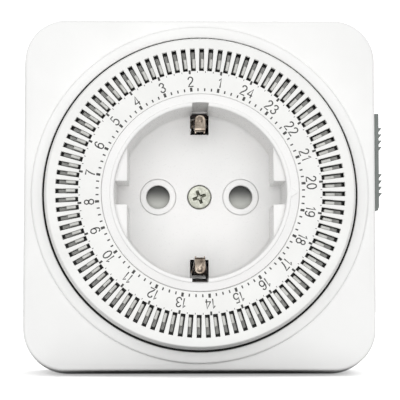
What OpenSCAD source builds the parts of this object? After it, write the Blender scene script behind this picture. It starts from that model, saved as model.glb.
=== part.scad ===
// Plug-in 24 hour timer switch for earthed round-pin wall sockets.
// The dial faces -Y, the plug points to +Y and +Z is up. The origin is the
// centre of the flat rear face, on the axis of the plug and of the well.
// Sizes are in millimetres. A level is a place along Y, so it grows towards
// the wall socket and is negative in front of the rear face.

/* [Housing] */
// Width and height of the front edge
front_w = 78.5; // [78:0.5:95]
// Corner radius of the front edge
corner_r = 9.2; // [8:0.2:12]
// How far each flank leans out between the front edge and the seam
flare = 1.25; // [1:0.25:3]
// Rounding of the edge around the front face
edge_r = 0.6; // [0.4:0.1:4.5]
// Depth of the rear shell, from its rear face to the seam
shell_d = 22; // [20:0.5:27]
// Wall thickness of both shells
wall = 2; // [1.6:0.1:2.2]
// Width of the raised ring around the dial
ring_w = 2.4; // [2:0.1:2.8]
// Height of the raised ring over the face beside it
ring_h = 1; // [0.6:0.1:1.4]

/* [Dial] */
// Gap between the dial's rim and the raised ring
dial_gap = 0.55; // [0.4:0.05:0.8]
// How far the dial's face stands in front of the raised ring
dial_rise = 6; // [5:0.25:7]
// Time at the pointer, in hours
time_shown = 19.66; // [0:0.01:24]
// Length of a segment slot, along the radius
slot_len = 5; // [4:0.25:6]
// Width of a segment slot
slot_w = 1.05; // [0.85:0.05:1.26]
// How far a segment moves when it is pushed in
seg_travel = 2; // [1.5:0.1:2.4]

/* [Socket well] */
// Inner diameter of the well
well_d = 37.8; // [31.5:0.1:38.6]
// Depth of the well, from its rim to its floor
well_depth = 17.5; // [15:0.5:21]
// Thickness of the collar around the well
collar_t = 2.8; // [2.4:0.1:3]
// Thickness of the well's floor
floor_t = 2; // [1.6:0.1:2.6]
// Diameter of the two pin holes
hole_d = 5.4; // [5.2:0.1:6]
// How far the guide ribs stand in from the well's wall
rib_t = 2.85; // [2:0.05:3.5]

/* [Plug] */
// Distance between the two pins
pin_spacing = 19; // [18.6:0.1:19.4]
// Diameter of a pin
pin_d = 4.8; // [4:0.1:5]
// Length of a pin in front of the plug body
pin_len = 19; // [16:0.5:22.8]
// Diameter of the plug body
plug_d = 36.4; // [36:0.1:37]
// Length of the plug body behind the rear face
plug_len = 17; // [15:0.5:20]

/* [Override switch] */
// Length of the slider's bar
bar_len = 23; // [20:0.5:27.6]
// Width of the slider's bar
bar_w = 9; // [7.5:0.5:9]
// How far the bar stands out of the flank
bar_h = 0.95; // [0.8:0.05:2]
// Travel of the slider
bar_travel = 4; // [3:0.5:4]

/* [Drive] */
// Diameter of the motor
motor_d = 24; // [20:0.5:24]
// Length of the motor
motor_len = 16; // [12:0.5:18]
// Teeth on the dial's gear ring
dial_teeth = 120; // [100:4:140]
// Teeth on the small end of the reduction gear
pinion_teeth = 12; // [12:1:14]

/* [Hidden] */
$fn = 64;

// Colours
white_abs = "#f2f2f0";
dial_white = "#f4f4f2";
seg_grey = "#8f8f8c";
slider_grey = "#8b918e";
carrier_black = "#3a3a3c";
nickel = "#c9c4b8";
zinc = "#b9bbb9";
steel = "#a4a8ad";
copper = "#b5703c";
acetal = "#e6e0cf";
lead_blue = "#31527f";

// Clearances
run = 0.06;         // radial, of a turning fit
slip = 0.3;         // between faces that slide past each other
snug = 0.05;        // around a piece that stays in its seat
seg_side = 0.14;    // each side of a segment in its slot

// Levels, from the rear face forwards
y_seam = -shell_d;
y_floor = y_seam - floor_t;
y_rim = y_floor - well_depth;
rim_h = 0.35;
y_collar = y_rim + rim_h;
y_dial = y_collar + 0.25;
y_ring = y_dial + dial_rise;
y_face = y_ring + ring_h;
gear_t = 1.8;
y_gear_back = y_ring + 5.7;
y_gear_front = y_gear_back - gear_t;

film = 0.01;

// Radii of the front
ring_r = front_w / 2 - 1.55;
open_r = ring_r - ring_w;
ring_lip = 1.8;
dial_r = open_r - dial_gap;
face_r = dial_r - 1.1;
slot_r1 = dial_r - 2.95;
slot_r0 = slot_r1 - slot_len;
well_r = well_d / 2;
collar_r = well_r + collar_t;
rim_w = 0.95;
flank_w = front_w + 2 * flare;
flank_in = flank_w / 2 - wall;

// Dial
dial_plate_t = 1.5;
hub_t = 1.75;
skirt_r = dial_r - 1.5;
guide_t = 1.4;
y_guide = y_gear_front - 3.5;
slots = 96;
hour_step = 15;
quarter_step = 3.75;
hour_zero = time_shown * hour_step;
seg_w = slot_w - 2 * seg_side;
seg_end_gap = 0.12;
y_seg_foot = y_guide + guide_t + 0.4;
foot_h = 1.5;
y_seg_end = y_seg_foot + foot_h;
y_seg_in = y_seg_end + seg_travel;

// Well furniture
slot_z0 = well_r - 4.5;
slot_z1 = well_r + 0.55;
earth_slot_w = 4.25;
notch_w = 3.6;
notch_r = well_r + 0.86;
rib_gap_z = 5.1;
hole_rim_r = hole_d / 2 + 1.47;
hole_rim_h = 0.3;
pointer_w = 2.5;
rib_top = 1.5;
shelf_r = collar_r + hub_t + 1.8;
shelf_t = 1.5;
chamber_h = 2.6;
y_carrier = y_seam + chamber_h;
carrier_t = 3;
y_carrier_back = y_carrier + carrier_t;
post_r = 4;
screw_r = 1.45;
head_r = 2.7;
head_h = 1.5;
head_sunk = 1.1;

// Plug
pin_x = pin_spacing / 2;
pin_r = pin_d / 2;
plug_r = plug_d / 2;
plug_wall = 4;
plug_flat = 2.4;
plug_rib_w = 4.8;
plug_end_t = 2.4;
pin_boss_h = 5.2;
y_pin_seat = plug_len - plug_end_t - pin_boss_h;
pin_shank_r = pin_r + 0.3;
pin_flange_r = 3.6;
pin_flange_t = 0.8;
strap_w = 3.6;
strap_t = 0.6;
strap_gap = 0.1;
strap_slot_w = 4.4;
groove_w = 5.2;
strap_z = plug_r - 1.4;
clip_z = well_r - 1.5;
y_jog = -wall - 1.4;
groove_len = plug_len - 1.5;

// Housing screws
corner_screw = front_w / 2 - 4.6 + 0.2 * flare;
thread_r = 1.25;
boss_r = 2.5;
shell_head_r = 2.3;
shell_head_y = -1.8;
thread_len = 5;

// Gears. The ring gear's pitch radius follows the dial
gear_pitch_r = open_r + 0.9;
gear_m = 2 * gear_pitch_r / dial_teeth;
pinion_pitch_r = gear_m * pinion_teeth / 2;
gear_add = 0.42;
gear_ded = 0.62;
wheel_m = 0.5;
wheel_add = 0.32;
wheel_ded = 0.65;
motor_add = 0.5;
motor_ded = 0.5;
play = 0.12;
pressure_angle = 20;
wheel_teeth = 24;
motor_teeth = 10;
gear_c = gear_pitch_r + pinion_pitch_r;
gear_angle = 225;
axle_x = gear_c * cos(gear_angle);
axle_z = gear_c * sin(gear_angle);
wheel_c = wheel_m * (wheel_teeth + motor_teeth) / 2;
motor_pin_x = axle_x + wheel_c;
motor_pin_z = axle_z;
wheel_t = 1.4;
y_wheel = y_gear_back + 0.8;
motor_off = 3.96;
motor_x = axle_x + motor_off;
motor_z = axle_z + motor_off;
plate_t = 1;
y_plate = y_wheel + wheel_t + 1;
y_can = y_plate + plate_t;
can_t = 0.8;
ear_c = motor_d / 2 + 3.2;
ear_angles = [120, 330];
gear_axle_r = 1;

// Feeler and switch, beside the pointer
feeler_r = (slot_r0 + slot_r1) / 2;
feeler_w = 4.6;
feeler_t = 1.2;
y_nose = y_seg_in + slip;
y_feeler = y_nose + 0.8;
pivot_z = 9.5;
y_pivot = y_feeler + 1.2;
feeler_hub_r = 1.7;
ear_r = 1.9;
feeler_axle_r = 1;
ear_t = 1.3;
ear_gap = 0.2;
case_x0 = feeler_r - feeler_w / 2 - ear_gap - ear_t;
case_x1 = feeler_r + feeler_w / 2 + ear_gap + ear_t;
y_case = y_feeler + feeler_t + 2.3;
case_d = 10.5;
case_z0 = -9;
case_z1 = 6;
rest_t = 1.6;
button_r = 1;
button_gap = 0.2;

// Override slider on the right flank
bar_z = 8.8;
stem_len = 8;
y_bar = y_seam + 0.6;
stem_gap = 0.2;
bar_seat = 0.15;
tooth_h = 0.6;
tooth_pitch = 1.48;
tooth_n = 4;
arm_x = case_x1 + 2.4;
arm_t = 1.4;
lug_len = 3.4;
lug_z = 1.5;
press = 0.83;
finger_t = 0.6;

// Contacts
box_out = 9.2;
box_in = 7.2;
y_box = -4.8;
leaf_t = 0.6;
leaf_gap = pin_r + 0.15;
y_base = -4.4;
bus_t = 0.8;
bus_w = 3;
y_feed = -2.9;
y_lead = -7.5;

// Extrudes a plan drawn in X and Z between two levels
module between(y0, y1) {
    translate([0, y1, 0]) rotate([90, 0, 0]) linear_extrude(y1 - y0) children();
}

// Turns a profile drawn as radius and level around the main axis
module turned() {
    rotate([-90, 0, 0]) rotate_extrude($fn = 128) children();
}

// Round bar along Y
module bar_y(r, y0, y1, x = 0, z = 0) {
    translate([x, y1, z]) rotate([90, 0, 0]) cylinder(r = r, h = y1 - y0);
}

// Round bar along X
module bar_x(r, x0, x1, y, z) {
    translate([x0, y, z]) rotate([0, 90, 0]) cylinder(r = r, h = x1 - x0);
}

// Box given by its two corners
module block(low, high) {
    translate(low) cube(high - low);
}

// Square plan with round corners
module rounded_plan(w, r) {
    square([w - 2 * r, w], center = true);
    square([w, w - 2 * r], center = true);
    for (sx = [-1, 1], sz = [-1, 1])
        translate([sx * (w / 2 - r), sz * (w / 2 - r)]) circle(r = r);
}

// Thin slice of a form, for a hull
module slice(w, r, y) {
    between(y, y + film) rounded_plan(w, r, $fn = 32);
}

// Block from the seam to the front face, with leaning flanks and a rounded
// front edge. Its surface is moved in by inset
module front_form(inset) {
    c = max(edge_r, inset);
    r = c - inset;
    hull() {
        slice(flank_w - 2 * inset, corner_r + flare - inset, y_seam - film);
        for (a = [0:22.5:90])
            slice(front_w - 2 * (c - r * cos(a)), corner_r - c + r * cos(a),
                y_face + c - r * sin(a));
    }
}

// Points of one gear tooth, counter-clockwise about the centre
function tooth(n, m, add, ded, i) =
    let (rp = n * m / 2, ra = rp + add, rr = rp - ded, rb = rp * cos(pressure_angle),
         half = 90 / n - play / rp * 90 / PI,
         inv = function (r) r <= rb ? 0
             : sqrt(r * r / rb / rb - 1) * 180 / PI - acos(rb / r),
         at = function (r) half + inv(rp) - inv(r),
         low = max(rr, rb), mid = (low + ra) / 2,
         c = 360 * i / n,
         p = function (r, a) [r * cos(c + a), r * sin(c + a)])
    [p(rr, -at(low) - (low > rr ? 0.3 : 0)), p(low, -at(low)), p(mid, -at(mid)), p(ra, -at(ra)),
     p(ra, at(ra)), p(mid, at(mid)), p(low, at(low)), p(rr, at(low) + (low > rr ? 0.3 : 0))];

// Gear plan, with its first tooth turned by phase
module gear_plan(n, m, add, ded, phase) {
    rotate(phase) polygon([for (i = [0:n - 1]) each tooth(n, m, add, ded, i)]);
}

// Tube along points. side is a direction that the route never takes
module tube(route, r, side, sides = 8) {
    last = len(route) - 1;
    function unit(v) = v / norm(v);
    function dir(i) = unit(route[min(i + 1, last)] - route[max(i - 1, 0)]);
    function ring(i) =
        let (t = dir(i), a = unit(cross(t, side)), b = cross(t, a))
        [for (k = [0:sides - 1]) route[i] + r * (cos(360 * k / sides) * a + sin(360 * k / sides) * b)];
    points = [for (i = [0:last]) each ring(i)];
    start = [for (k = [0:sides - 1]) k];
    end = [for (k = [sides - 1:-1:0]) last * sides + k];
    walls = [for (i = [0:last - 1], k = [0:sides - 1])
        let (n = (k + 1) % sides)
        [i * sides + n, i * sides + k, (i + 1) * sides + k, (i + 1) * sides + n]];
    polyhedron(points = points, faces = concat([start], walls, [end]), convexity = 6);
}

// Copies for the four housing screws
module at_corners() {
    for (sx = [-1, 1], sz = [-1, 1])
        translate([sx * corner_screw, 0, sz * corner_screw]) children();
}

// Copies for the two pins
module at_pins() {
    for (s = [-1, 1]) translate([s * pin_x, 0, 0]) children();
}

// Copies for the earth parts at the top and the bottom
module top_and_bottom() {
    children();
    mirror([0, 0, 1]) children();
}

// Plan of all the segment slots, or of the blades that stand in them
module slot_plan(width, r0, r1) {
    for (i = [0:slots - 1])
        rotate(hour_angle(0) + (i + 0.5) * quarter_step)
            translate([r0, -width / 2]) square([r1 - r0, width]);
}

// Angle of an hour mark, counter-clockwise from the pointer as seen from the front
function hour_angle(h) = h * hour_step - hour_zero;

// Front cover with the raised ring around the dial
module front_housing() {
    color(white_abs) difference() {
        union() {
            difference() {
                front_form(0);
                between(y_face - 1, y_seam + 1) circle(r = open_r + ring_lip, $fn = 128);
                front_form(wall);
            }
            turned() polygon([[open_r, y_ring], [ring_r - 0.2, y_ring], [ring_r, y_ring + 0.2],
                [ring_r, y_face + wall - 0.5], [open_r + ring_lip, y_face + wall - 0.5],
                [open_r + ring_lip, y_gear_front - slip], [open_r, y_gear_front - slip]]);
            intersection() {
                front_form(wall - 0.2);
                at_corners() bar_y(boss_r, y_face, y_seam);
            }
        }
        at_corners() bar_y(thread_r + snug, y_seam - thread_len - 0.5, y_seam + 1);
    }
}

// Rear shell with the hollow plug body
module rear_housing() {
    stem_y = y_seam + slip + bar_w - 1.2;
    color(white_abs) difference() {
        union() {
            difference() {
                between(y_seam, 0) rounded_plan(flank_w, corner_r + flare);
                between(y_seam - 1, -wall) rounded_plan(flank_w - 2 * wall, corner_r + flare - wall);
            }
            between(y_carrier_back, -wall / 2) difference() {
                circle(r = collar_r);
                circle(r = collar_r - 2);
            }
            between(-wall, plug_len) circle(r = plug_r);
            at_corners() bar_y(boss_r + 0.4, y_seam, -wall / 2);
            motor_ears() bar_y(boss_r, y_can, -wall / 2);
            for (z = [case_z0, case_z1 - rest_t])
                block([case_x0, y_case + case_d, z], [case_x1, -wall / 2, z + rest_t]);
        }
        difference() {
            between(-wall - 1, plug_len - plug_end_t) circle(r = plug_r - plug_wall);
            between(y_carrier_back, plug_len) circle(r = post_r);
            at_pins() bar_y(pin_r + 1.8, y_pin_seat, plug_len);
        }
        bar_y(screw_r + snug, y_carrier_back - 1, y_carrier_back + 12);
        at_pins() bar_y(pin_shank_r, y_pin_seat - 1, plug_len + 1);
        at_corners() bar_y(thread_r + 0.3, y_seam - 1, 1);
        at_corners() bar_y(shell_head_r + 0.15, shell_head_y, 1);
        motor_ears() bar_y(thread_r + snug, y_can - 1, y_can + 8);
        top_and_bottom() {
            block([-strap_slot_w / 2, y_jog - 0.4, min(clip_z - strap_t, strap_z) - strap_gap],
                [strap_slot_w / 2, 1, max(clip_z, plug_r) + 2 * strap_gap]);
            block([-groove_w / 2, 0, strap_z - strap_gap], [groove_w / 2, groove_len, plug_r + 1]);
        }
        for (sx = [0, 1], sz = [0, 1])
            mirror([sx, 0, 0]) mirror([0, 0, sz])
                block([plug_r - plug_flat, 0, plug_rib_w / 2], [plug_r + 1, plug_len + 1, plug_r]);
        block([collar_r - 5, y_box - 0.7, -3.5], [collar_r + 1, -wall, 3.5]);
        rotate([0, -gear_angle, 0])
            block([collar_r - 5, y_lead, -4], [collar_r + 1, -wall - 0.2, 4]);
        block([flank_w / 2 - wall - 1, y_seam - 1, bar_z - stem_len / 2 - bar_travel - stem_gap],
            [flank_w / 2 + 1, stem_y, bar_z + stem_len / 2 + stem_gap]);
    }
}

// One screw with a cross-recessed head. It points to -Y from its seat
module cross_screw(r, head, head_t, length) {
    difference() {
        union() {
            bar_y(head, 0, head_t);
            bar_y(r, -length, 0);
        }
        for (a = [0, 90])
            rotate([0, a, 0]) block([-head * 0.6, head_t * 0.35, -0.35], [head * 0.6, head_t + 1, 0.35]);
    }
}

// Four screws that close the two shells from the rear
module housing_screws() {
    color(zinc) at_corners() translate([0, shell_head_y, 0])
        cross_screw(thread_r, shell_head_r, 1.5, shell_d + shell_head_y + thread_len);
}

// Socket well: collar, floor, guide ribs and pointer
module socket_insert() {
    color(white_abs) difference() {
        union() {
            turned() polygon([[well_r, y_rim + 0.5], [well_r + 0.25, y_rim],
                [well_r + rim_w - 0.1, y_rim], [well_r + rim_w, y_collar],
                [collar_r - 0.2, y_collar], [collar_r, y_collar + 0.2],
                [collar_r, y_gear_back + slip], [shelf_r, y_gear_back + slip],
                [shelf_r, y_gear_back + slip + shelf_t], [collar_r, y_gear_back + slip + shelf_t],
                [collar_r, y_carrier], [collar_r - 2, y_carrier], [collar_r - 2, y_seam],
                [post_r, y_seam], [post_r, y_carrier], [0, y_carrier], [0, y_floor],
                [well_r, y_floor]]);
            between(y_rim + rib_top, y_floor + 0.5) intersection() {
                circle(r = well_r + 0.5);
                for (sx = [-1, 1], sz = [-1, 1])
                    scale([sx, sz]) translate([well_r - rib_t, rib_gap_z / 2]) square(well_r);
            }
            at_pins() bar_y(hole_rim_r, y_floor - hole_rim_h, y_floor + 0.5);
            between(y_rim, y_collar + 0.5)
                polygon([[well_r + 0.3, -pointer_w / 2], [collar_r - 0.25, 0],
                    [well_r + 0.3, pointer_w / 2]]);
        }
        at_pins() bar_y(hole_d / 2, y_floor - 1, y_seam + 1);
        bar_y(screw_r + 0.15, y_floor - 1, y_carrier + 1);
        bar_y(head_r + 0.15, y_floor - 1, y_floor + head_sunk);
        top_and_bottom() {
            block([-earth_slot_w / 2, y_floor - 0.6, slot_z0], [earth_slot_w / 2, y_seam + 1, slot_z1]);
            intersection() {
                block([-notch_w / 2, y_rim - 1, slot_z0], [notch_w / 2, y_floor, well_r + 3]);
                between(y_rim - 1, y_floor) circle(r = notch_r);
            }
        }
    }
}

// Screw that clamps the well and the contact carrier to the post
module centre_screw() {
    color(zinc) translate([0, y_floor + head_sunk, 0]) mirror([0, 1, 0])
        cross_screw(screw_r, head_r, head_h, 16);
}

// Plate behind the well with a pocket for each socket contact
module contact_carrier() {
    color(carrier_black) difference() {
        union() {
            between(y_carrier, y_carrier_back) circle(r = collar_r);
            at_pins() between(y_carrier_back - 1, y_box) square(box_out, center = true);
        }
        at_pins() between(y_carrier + 1.4, y_box + 1) square(box_in, center = true);
        at_pins() bar_y(hole_d / 2 + 0.1, y_carrier - 1, y_carrier + 2);
        bar_y(screw_r + 0.15, y_carrier - 1, y_carrier_back + 1);
        top_and_bottom()
            block([-earth_slot_w / 2, y_carrier - 1, slot_z0],
                [earth_slot_w / 2, y_carrier_back + 1, slot_z1 - 0.4]);
    }
}

// Turning shutter that closes both pin holes from behind
module shutter() {
    color(seg_grey) between(y_seam + 0.4, y_seam + 1.4) difference() {
        union() {
            circle(r = post_r + 2);
            for (s = [0, 180]) rotate(s) intersection() {
                circle(r = pin_x + hole_d / 2 + 0.7);
                polygon([[0, 0], [20, -20 * tan(20)], [20, 20 * tan(20)]]);
            }
        }
        circle(r = post_r + run);
    }
}

// Light coil that turns the shutter back
module shutter_spring() {
    turns = 1.6;
    steps = 36;
    wire_r = 0.16;
    rise = 0.7;
    r = post_r + 0.7;
    color(steel) tube([for (i = [0:steps])
        let (a = 360 * turns * i / steps)
        [r * cos(a), y_seam + 1.65 + rise * i / steps, r * sin(a)]], wire_r, [0, 1, 0]);
}

// Round pin with a domed tip, and a thicker shank and a flange inside the plug body
module plug_pin() {
    tip = 0.8;
    color(nickel) turned() polygon([[0, y_pin_seat - pin_flange_t],
        [pin_flange_r, y_pin_seat - pin_flange_t], [pin_flange_r, y_pin_seat],
        [pin_shank_r, y_pin_seat], [pin_shank_r, plug_len], [pin_r, plug_len],
        [pin_r, plug_len + pin_len - tip],
        for (a = [15:15:75]) [pin_r - tip + tip * cos(a), plug_len + pin_len - tip + tip * sin(a)],
        [pin_r - tip, plug_len + pin_len], [0, plug_len + pin_len]]);
}

// Pin on the switched side
module plug_pin_live() {
    translate([pin_x, 0, 0]) plug_pin();
}

// Pin on the side that runs straight through
module plug_pin_neutral() {
    translate([-pin_x, 0, 0]) plug_pin();
}

// Bus bar from the live pin to the switch
module live_feed() {
    y_pin = y_pin_seat - pin_flange_t;
    x_end = case_x1 - 2;
    color(copper) {
        block([pin_x - bus_w / 2, y_feed, -0.4], [pin_x + bus_w / 2, y_pin, 0.4]);
        block([pin_x - bus_w / 2, y_feed, -bus_w / 2], [x_end, y_feed + bus_t, bus_w / 2]);
        block([x_end - bus_t, y_case + case_d, -bus_w / 2], [x_end, y_feed + bus_t, bus_w / 2]);
    }
}

// Two sprung leaves for a pin, on a base
module contact_fork() {
    for (s = [-1, 1]) scale([1, 1, s])
        block([-2, y_carrier_back + 0.4, leaf_gap], [2, y_base + leaf_t, leaf_gap + leaf_t]);
    block([-2.5, y_base, -leaf_gap - leaf_t], [2.5, y_base + leaf_t, leaf_gap + leaf_t]);
}

// Fork behind the switched hole, with its bar to the switch
module socket_contact_live() {
    x_end = case_x0 + 1.6;
    color(copper) {
        translate([pin_x, 0, 0]) contact_fork();
        block([pin_x, y_base, -bus_w / 2], [x_end, y_base + leaf_t, bus_w / 2]);
        block([x_end - bus_t, y_case + case_d, -bus_w / 2], [x_end, y_base + leaf_t, bus_w / 2]);
    }
}

// Fork behind the other hole, with its bar to the neutral pin
module socket_contact_neutral() {
    y_pin = y_pin_seat - pin_flange_t;
    color(copper) translate([-pin_x, 0, 0]) {
        contact_fork();
        block([-bus_w / 2, y_base, -0.4], [bus_w / 2, y_pin, 0.4]);
    }
}

// Sprung earth clip that leans into the well, with a window between two legs
module earth_clip() {
    t = 0.45;
    z0 = clip_z;
    y_root = y_carrier_back + 6;
    y_bend = y_floor + 0.5;
    y_knee = y_floor - 9;
    z_knee = well_r - 5;
    y_lip = y_floor - 10.4;
    z_lip = well_r - 2.2;
    side = [[z0, y_root], [z0, y_bend], [z_knee, y_knee + 0.8], [z_knee, y_knee],
        [z_knee + 0.5, y_knee - 0.7], [z_lip, y_lip - 0.6], [z_lip, y_lip - 0.6 + t],
        [z_knee + t + 0.4, y_knee - 0.1], [z_knee + t, y_knee + 0.4],
        [z_knee + t, y_knee + 0.9], [z0 + t, y_bend + 0.1], [z0 + t, y_root]];
    color(nickel) difference() {
        translate([-1.7, 0, 0]) rotate([90, 0, 90]) linear_extrude(3.4)
            polygon([for (p = side) [p[1], p[0]]]);
        block([-0.9, y_lip + 0.2, z_knee + 0.9], [0.9, y_bend - 2, z_lip - 0.7]);
    }
}

// Clip at the top of the well
module earth_clip_top() {
    earth_clip();
}

// Clip at the bottom of the well
module earth_clip_bottom() {
    mirror([0, 0, 1]) earth_clip();
}

// Strap from a clip to the groove in the plug body
module earth_strap() {
    half = strap_w / 2;
    inner_z = clip_z - strap_t;
    color(nickel) {
        block([-half, y_carrier_back + 0.2, inner_z], [half, y_jog + strap_t, clip_z]);
        block([-half, y_jog, min(inner_z, strap_z)],
            [half, y_jog + strap_t, max(clip_z, strap_z + strap_t)]);
        block([-half, y_jog, strap_z], [half, groove_len - 0.3, strap_z + strap_t]);
    }
}

// Strap at the top
module earth_strap_top() {
    earth_strap();
}

// Strap at the bottom
module earth_strap_bottom() {
    mirror([0, 0, 1]) earth_strap();
}

// Case of the snap switch, with two ears that hold the feeler's axle
module switch_case() {
    color(carrier_black) difference() {
        union() {
            block([case_x0, y_case, case_z0], [case_x1, y_case + case_d, case_z1]);
            for (x = [case_x0, case_x1 - ear_t]) {
                block([x, y_pivot, pivot_z - ear_r], [x + ear_t, y_case + 4, pivot_z + ear_r]);
                bar_x(ear_r, x, x + ear_t, y_pivot, pivot_z);
                block([x, y_case + 1.5, case_z1 - 1], [x + ear_t, y_case + 4, pivot_z]);
            }
        }
        bar_x(feeler_axle_r, case_x0 - 1, case_x1 + 1, y_pivot, pivot_z);
        bar_y(button_r + run, y_case - 1, y_case + 3, feeler_r, 0);
    }
}

// Button of the snap switch, behind the feeler
module switch_button() {
    color(acetal) bar_y(button_r, y_feeler + feeler_t + button_gap, y_case + 2, feeler_r, 0);
}

// Lever that feels the pushed-in segments and works the switch
module feeler_lever() {
    x0 = feeler_r - feeler_w / 2;
    color(acetal) difference() {
        union() {
            block([x0, y_feeler, -2], [x0 + feeler_w, y_feeler + feeler_t, pivot_z]);
            bar_x(feeler_hub_r, x0, x0 + feeler_w, y_pivot, pivot_z);
            translate([x0, 0, 0]) rotate([90, 0, 90]) linear_extrude(feeler_w)
                polygon([[y_feeler + 0.2, -2], [y_nose, -0.7], [y_nose, 0.7], [y_feeler + 0.2, 3]]);
            block([x0, y_feeler, -lug_z], [x0 + feeler_w + lug_len, y_feeler + feeler_t, lug_z]);
        }
        bar_x(feeler_axle_r + run, x0 - 1, x0 + feeler_w + 1, y_pivot, pivot_z);
    }
}

// Pin that the feeler turns on
module feeler_axle() {
    color(steel) bar_x(feeler_axle_r, case_x0 - 0.4, case_x1 + 1.6, y_pivot, pivot_z);
}

// Coil on the axle that holds the feeler towards the dial
module feeler_spring() {
    turns = 2.5;
    steps = 40;
    r = feeler_axle_r + 0.35;
    color(steel) tube([for (i = [0:steps])
        let (a = 360 * turns * i / steps)
        [case_x1 + 0.35 + 1.0 * i / steps, y_pivot + r * cos(a), pivot_z + r * sin(a)]],
        0.18, [1, 0, 0]);
}

// Slider on the flank: ribbed bar, stem through the shell, arm to the feeler
module override_slider() {
    x_out = flank_w / 2 + bar_seat;
    x_in = flank_in;
    y1 = y_bar + bar_w;
    y_stem = y_seam + slip;
    z0 = bar_z - stem_len / 2;
    z1 = bar_z + stem_len / 2;
    z_arm = lug_z + 0.4;
    y_lug = y_feeler - 0.12;
    color(slider_grey) {
        block([x_out, y_bar, bar_z - bar_len / 2], [x_out + bar_h, y1, bar_z + bar_len / 2]);
        for (g = [-1, 1], i = [0:tooth_n - 1]) {
            z = bar_z + 0.5 + g * 5.6 + (i - 1.5) * tooth_pitch;
            translate([0, y1 - 0.6, 0]) rotate([90, 0, 0]) linear_extrude(bar_w - 1.2)
                polygon([[x_out + bar_h - 0.2, z + 0.7], [x_out + bar_h + tooth_h, z + 0.55],
                    [x_out + bar_h - 0.2, z - 0.75]]);
        }
        block([x_in - slip, y_stem, z0], [x_out + 0.2, y1 - 1.7, z1]);
        block([x_in - 1.6, y_stem + 0.5, z0 - 1.5], [x_in - slip, y1 - 1, z1 + 1.5]);
        block([arm_x + 0.2, y_stem + 0.5, z_arm], [x_in - slip - 0.4, y1 - 4, z_arm + 4]);
        block([arm_x + 0.2, y_lug - finger_t, z_arm], [arm_x + 0.2 + arm_t, y1 - 4, z_arm + 4]);
        translate([case_x1 + 0.6, 0, 0]) rotate([90, 0, 90])
            linear_extrude(arm_x - case_x1 - 0.3)
            polygon([[y_lug - finger_t, z_arm], [y_lug, z_arm],
                [y_lug + press, z_arm + bar_travel], [y_lug - finger_t, z_arm + bar_travel]]);
    }
}

// Copies for the two ears of the motor plate
module motor_ears() {
    for (a = ear_angles)
        translate([motor_x + ear_c * cos(a), 0, motor_z + ear_c * sin(a)]) children();
}

// Steel cup of the synchronous motor
module motor_can() {
    color(steel) difference() {
        bar_y(motor_d / 2, y_can, y_can + motor_len, motor_x, motor_z);
        bar_y(motor_d / 2 - can_t, y_can - 1, y_can + motor_len - can_t, motor_x, motor_z);
    }
}

// Winding on its bobbin, inside the cup
module motor_coil() {
    r = motor_d / 2 - can_t - 0.2;
    color(copper) difference() {
        bar_y(r, y_can + 0.2, y_can + motor_len - can_t - 0.2, motor_x, motor_z);
        bar_y(r - 4, y_can - 1, y_can + motor_len, motor_x, motor_z);
        bar_y(2.2, y_can - 1, y_can + 4, motor_pin_x, motor_pin_z);
    }
}

// Front plate of the motor, with two ears
module motor_plate() {
    color(steel) difference() {
        union() {
            bar_y(motor_d / 2, y_plate, y_can, motor_x, motor_z);
            motor_ears() bar_y(boss_r, y_plate, y_can);
            between(y_plate, y_can) translate([motor_x, motor_z])
                for (a = ear_angles)
                    rotate(a) translate([0, -boss_r]) square([ear_c, 2 * boss_r]);
        }
        motor_ears() bar_y(thread_r + 0.15, y_plate - 1, y_can + 1);
        bar_y(1 + run, y_plate - 1, y_can + 1, motor_pin_x, motor_pin_z);
        bar_y(gear_axle_r, y_plate - 1, y_can + 1, axle_x, axle_z);
    }
}

// Two screws that hold the motor plate on its posts
module motor_screws() {
    color(zinc) motor_ears() translate([0, y_plate, 0]) mirror([0, 1, 0])
        cross_screw(thread_r, 2.1, 1.1, 7);
}

// Output pinion of the motor with its shaft
module motor_pinion() {
    color(acetal) {
        between(y_wheel - 0.2, y_wheel + wheel_t + 0.3) translate([motor_pin_x, motor_pin_z])
            gear_plan(motor_teeth, wheel_m, motor_add, motor_ded, 180);
        bar_y(1, y_wheel, y_can + 3, motor_pin_x, motor_pin_z);
    }
}

// Two insulated leads from the motor to the live and neutral bars
module motor_leads() {
    y_out = y_can + motor_len + 0.25;
    y_turn = max(y_out + 2.2, y_lead + 0.95);
    color(lead_blue) {
        tube([[motor_x + 4, y_out, motor_z + 6], [motor_x + 4.5, y_out + 1.4, motor_z + 6.5],
            [motor_x + 6, y_turn, motor_z + 7.5], [-14.5, -3.7, -11],
            [-12, -3.6, -6.5], [-10.5, -3.3, -3.2], [-9.8, -3.2, -1]], 0.5, [0, 1, 0.3]);
        tube([[motor_x + 7, y_out, motor_z + 3], [motor_x + 7.5, y_out + 1.4, motor_z + 3.4],
            [motor_x + 9, y_turn, motor_z + 4.5], [-11, -3.4, -14.5],
            [-4, -2.6, -9], [3, -2.2, -5], [8.4, -2.5, -2]], 0.5, [0, 1, 0.3]);
    }
}

// Reduction gear: wheel driven by the motor, pinion that drives the dial
module reduction_gear() {
    color(acetal) translate([axle_x, 0, axle_z]) difference() {
        union() {
            between(y_gear_front + 0.2, y_wheel)
                gear_plan(pinion_teeth, gear_m, gear_add, gear_ded, gear_angle + 180);
            between(y_wheel, y_wheel + wheel_t)
                gear_plan(wheel_teeth, wheel_m, wheel_add, wheel_ded, 180 / wheel_teeth);
        }
        bar_y(gear_axle_r + run, y_gear_front - 1, y_wheel + wheel_t + 1);
    }
}

// Pin that the reduction gear turns on
module gear_axle() {
    color(steel) bar_y(gear_axle_r, y_gear_front, y_can, axle_x, axle_z);
}

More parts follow.
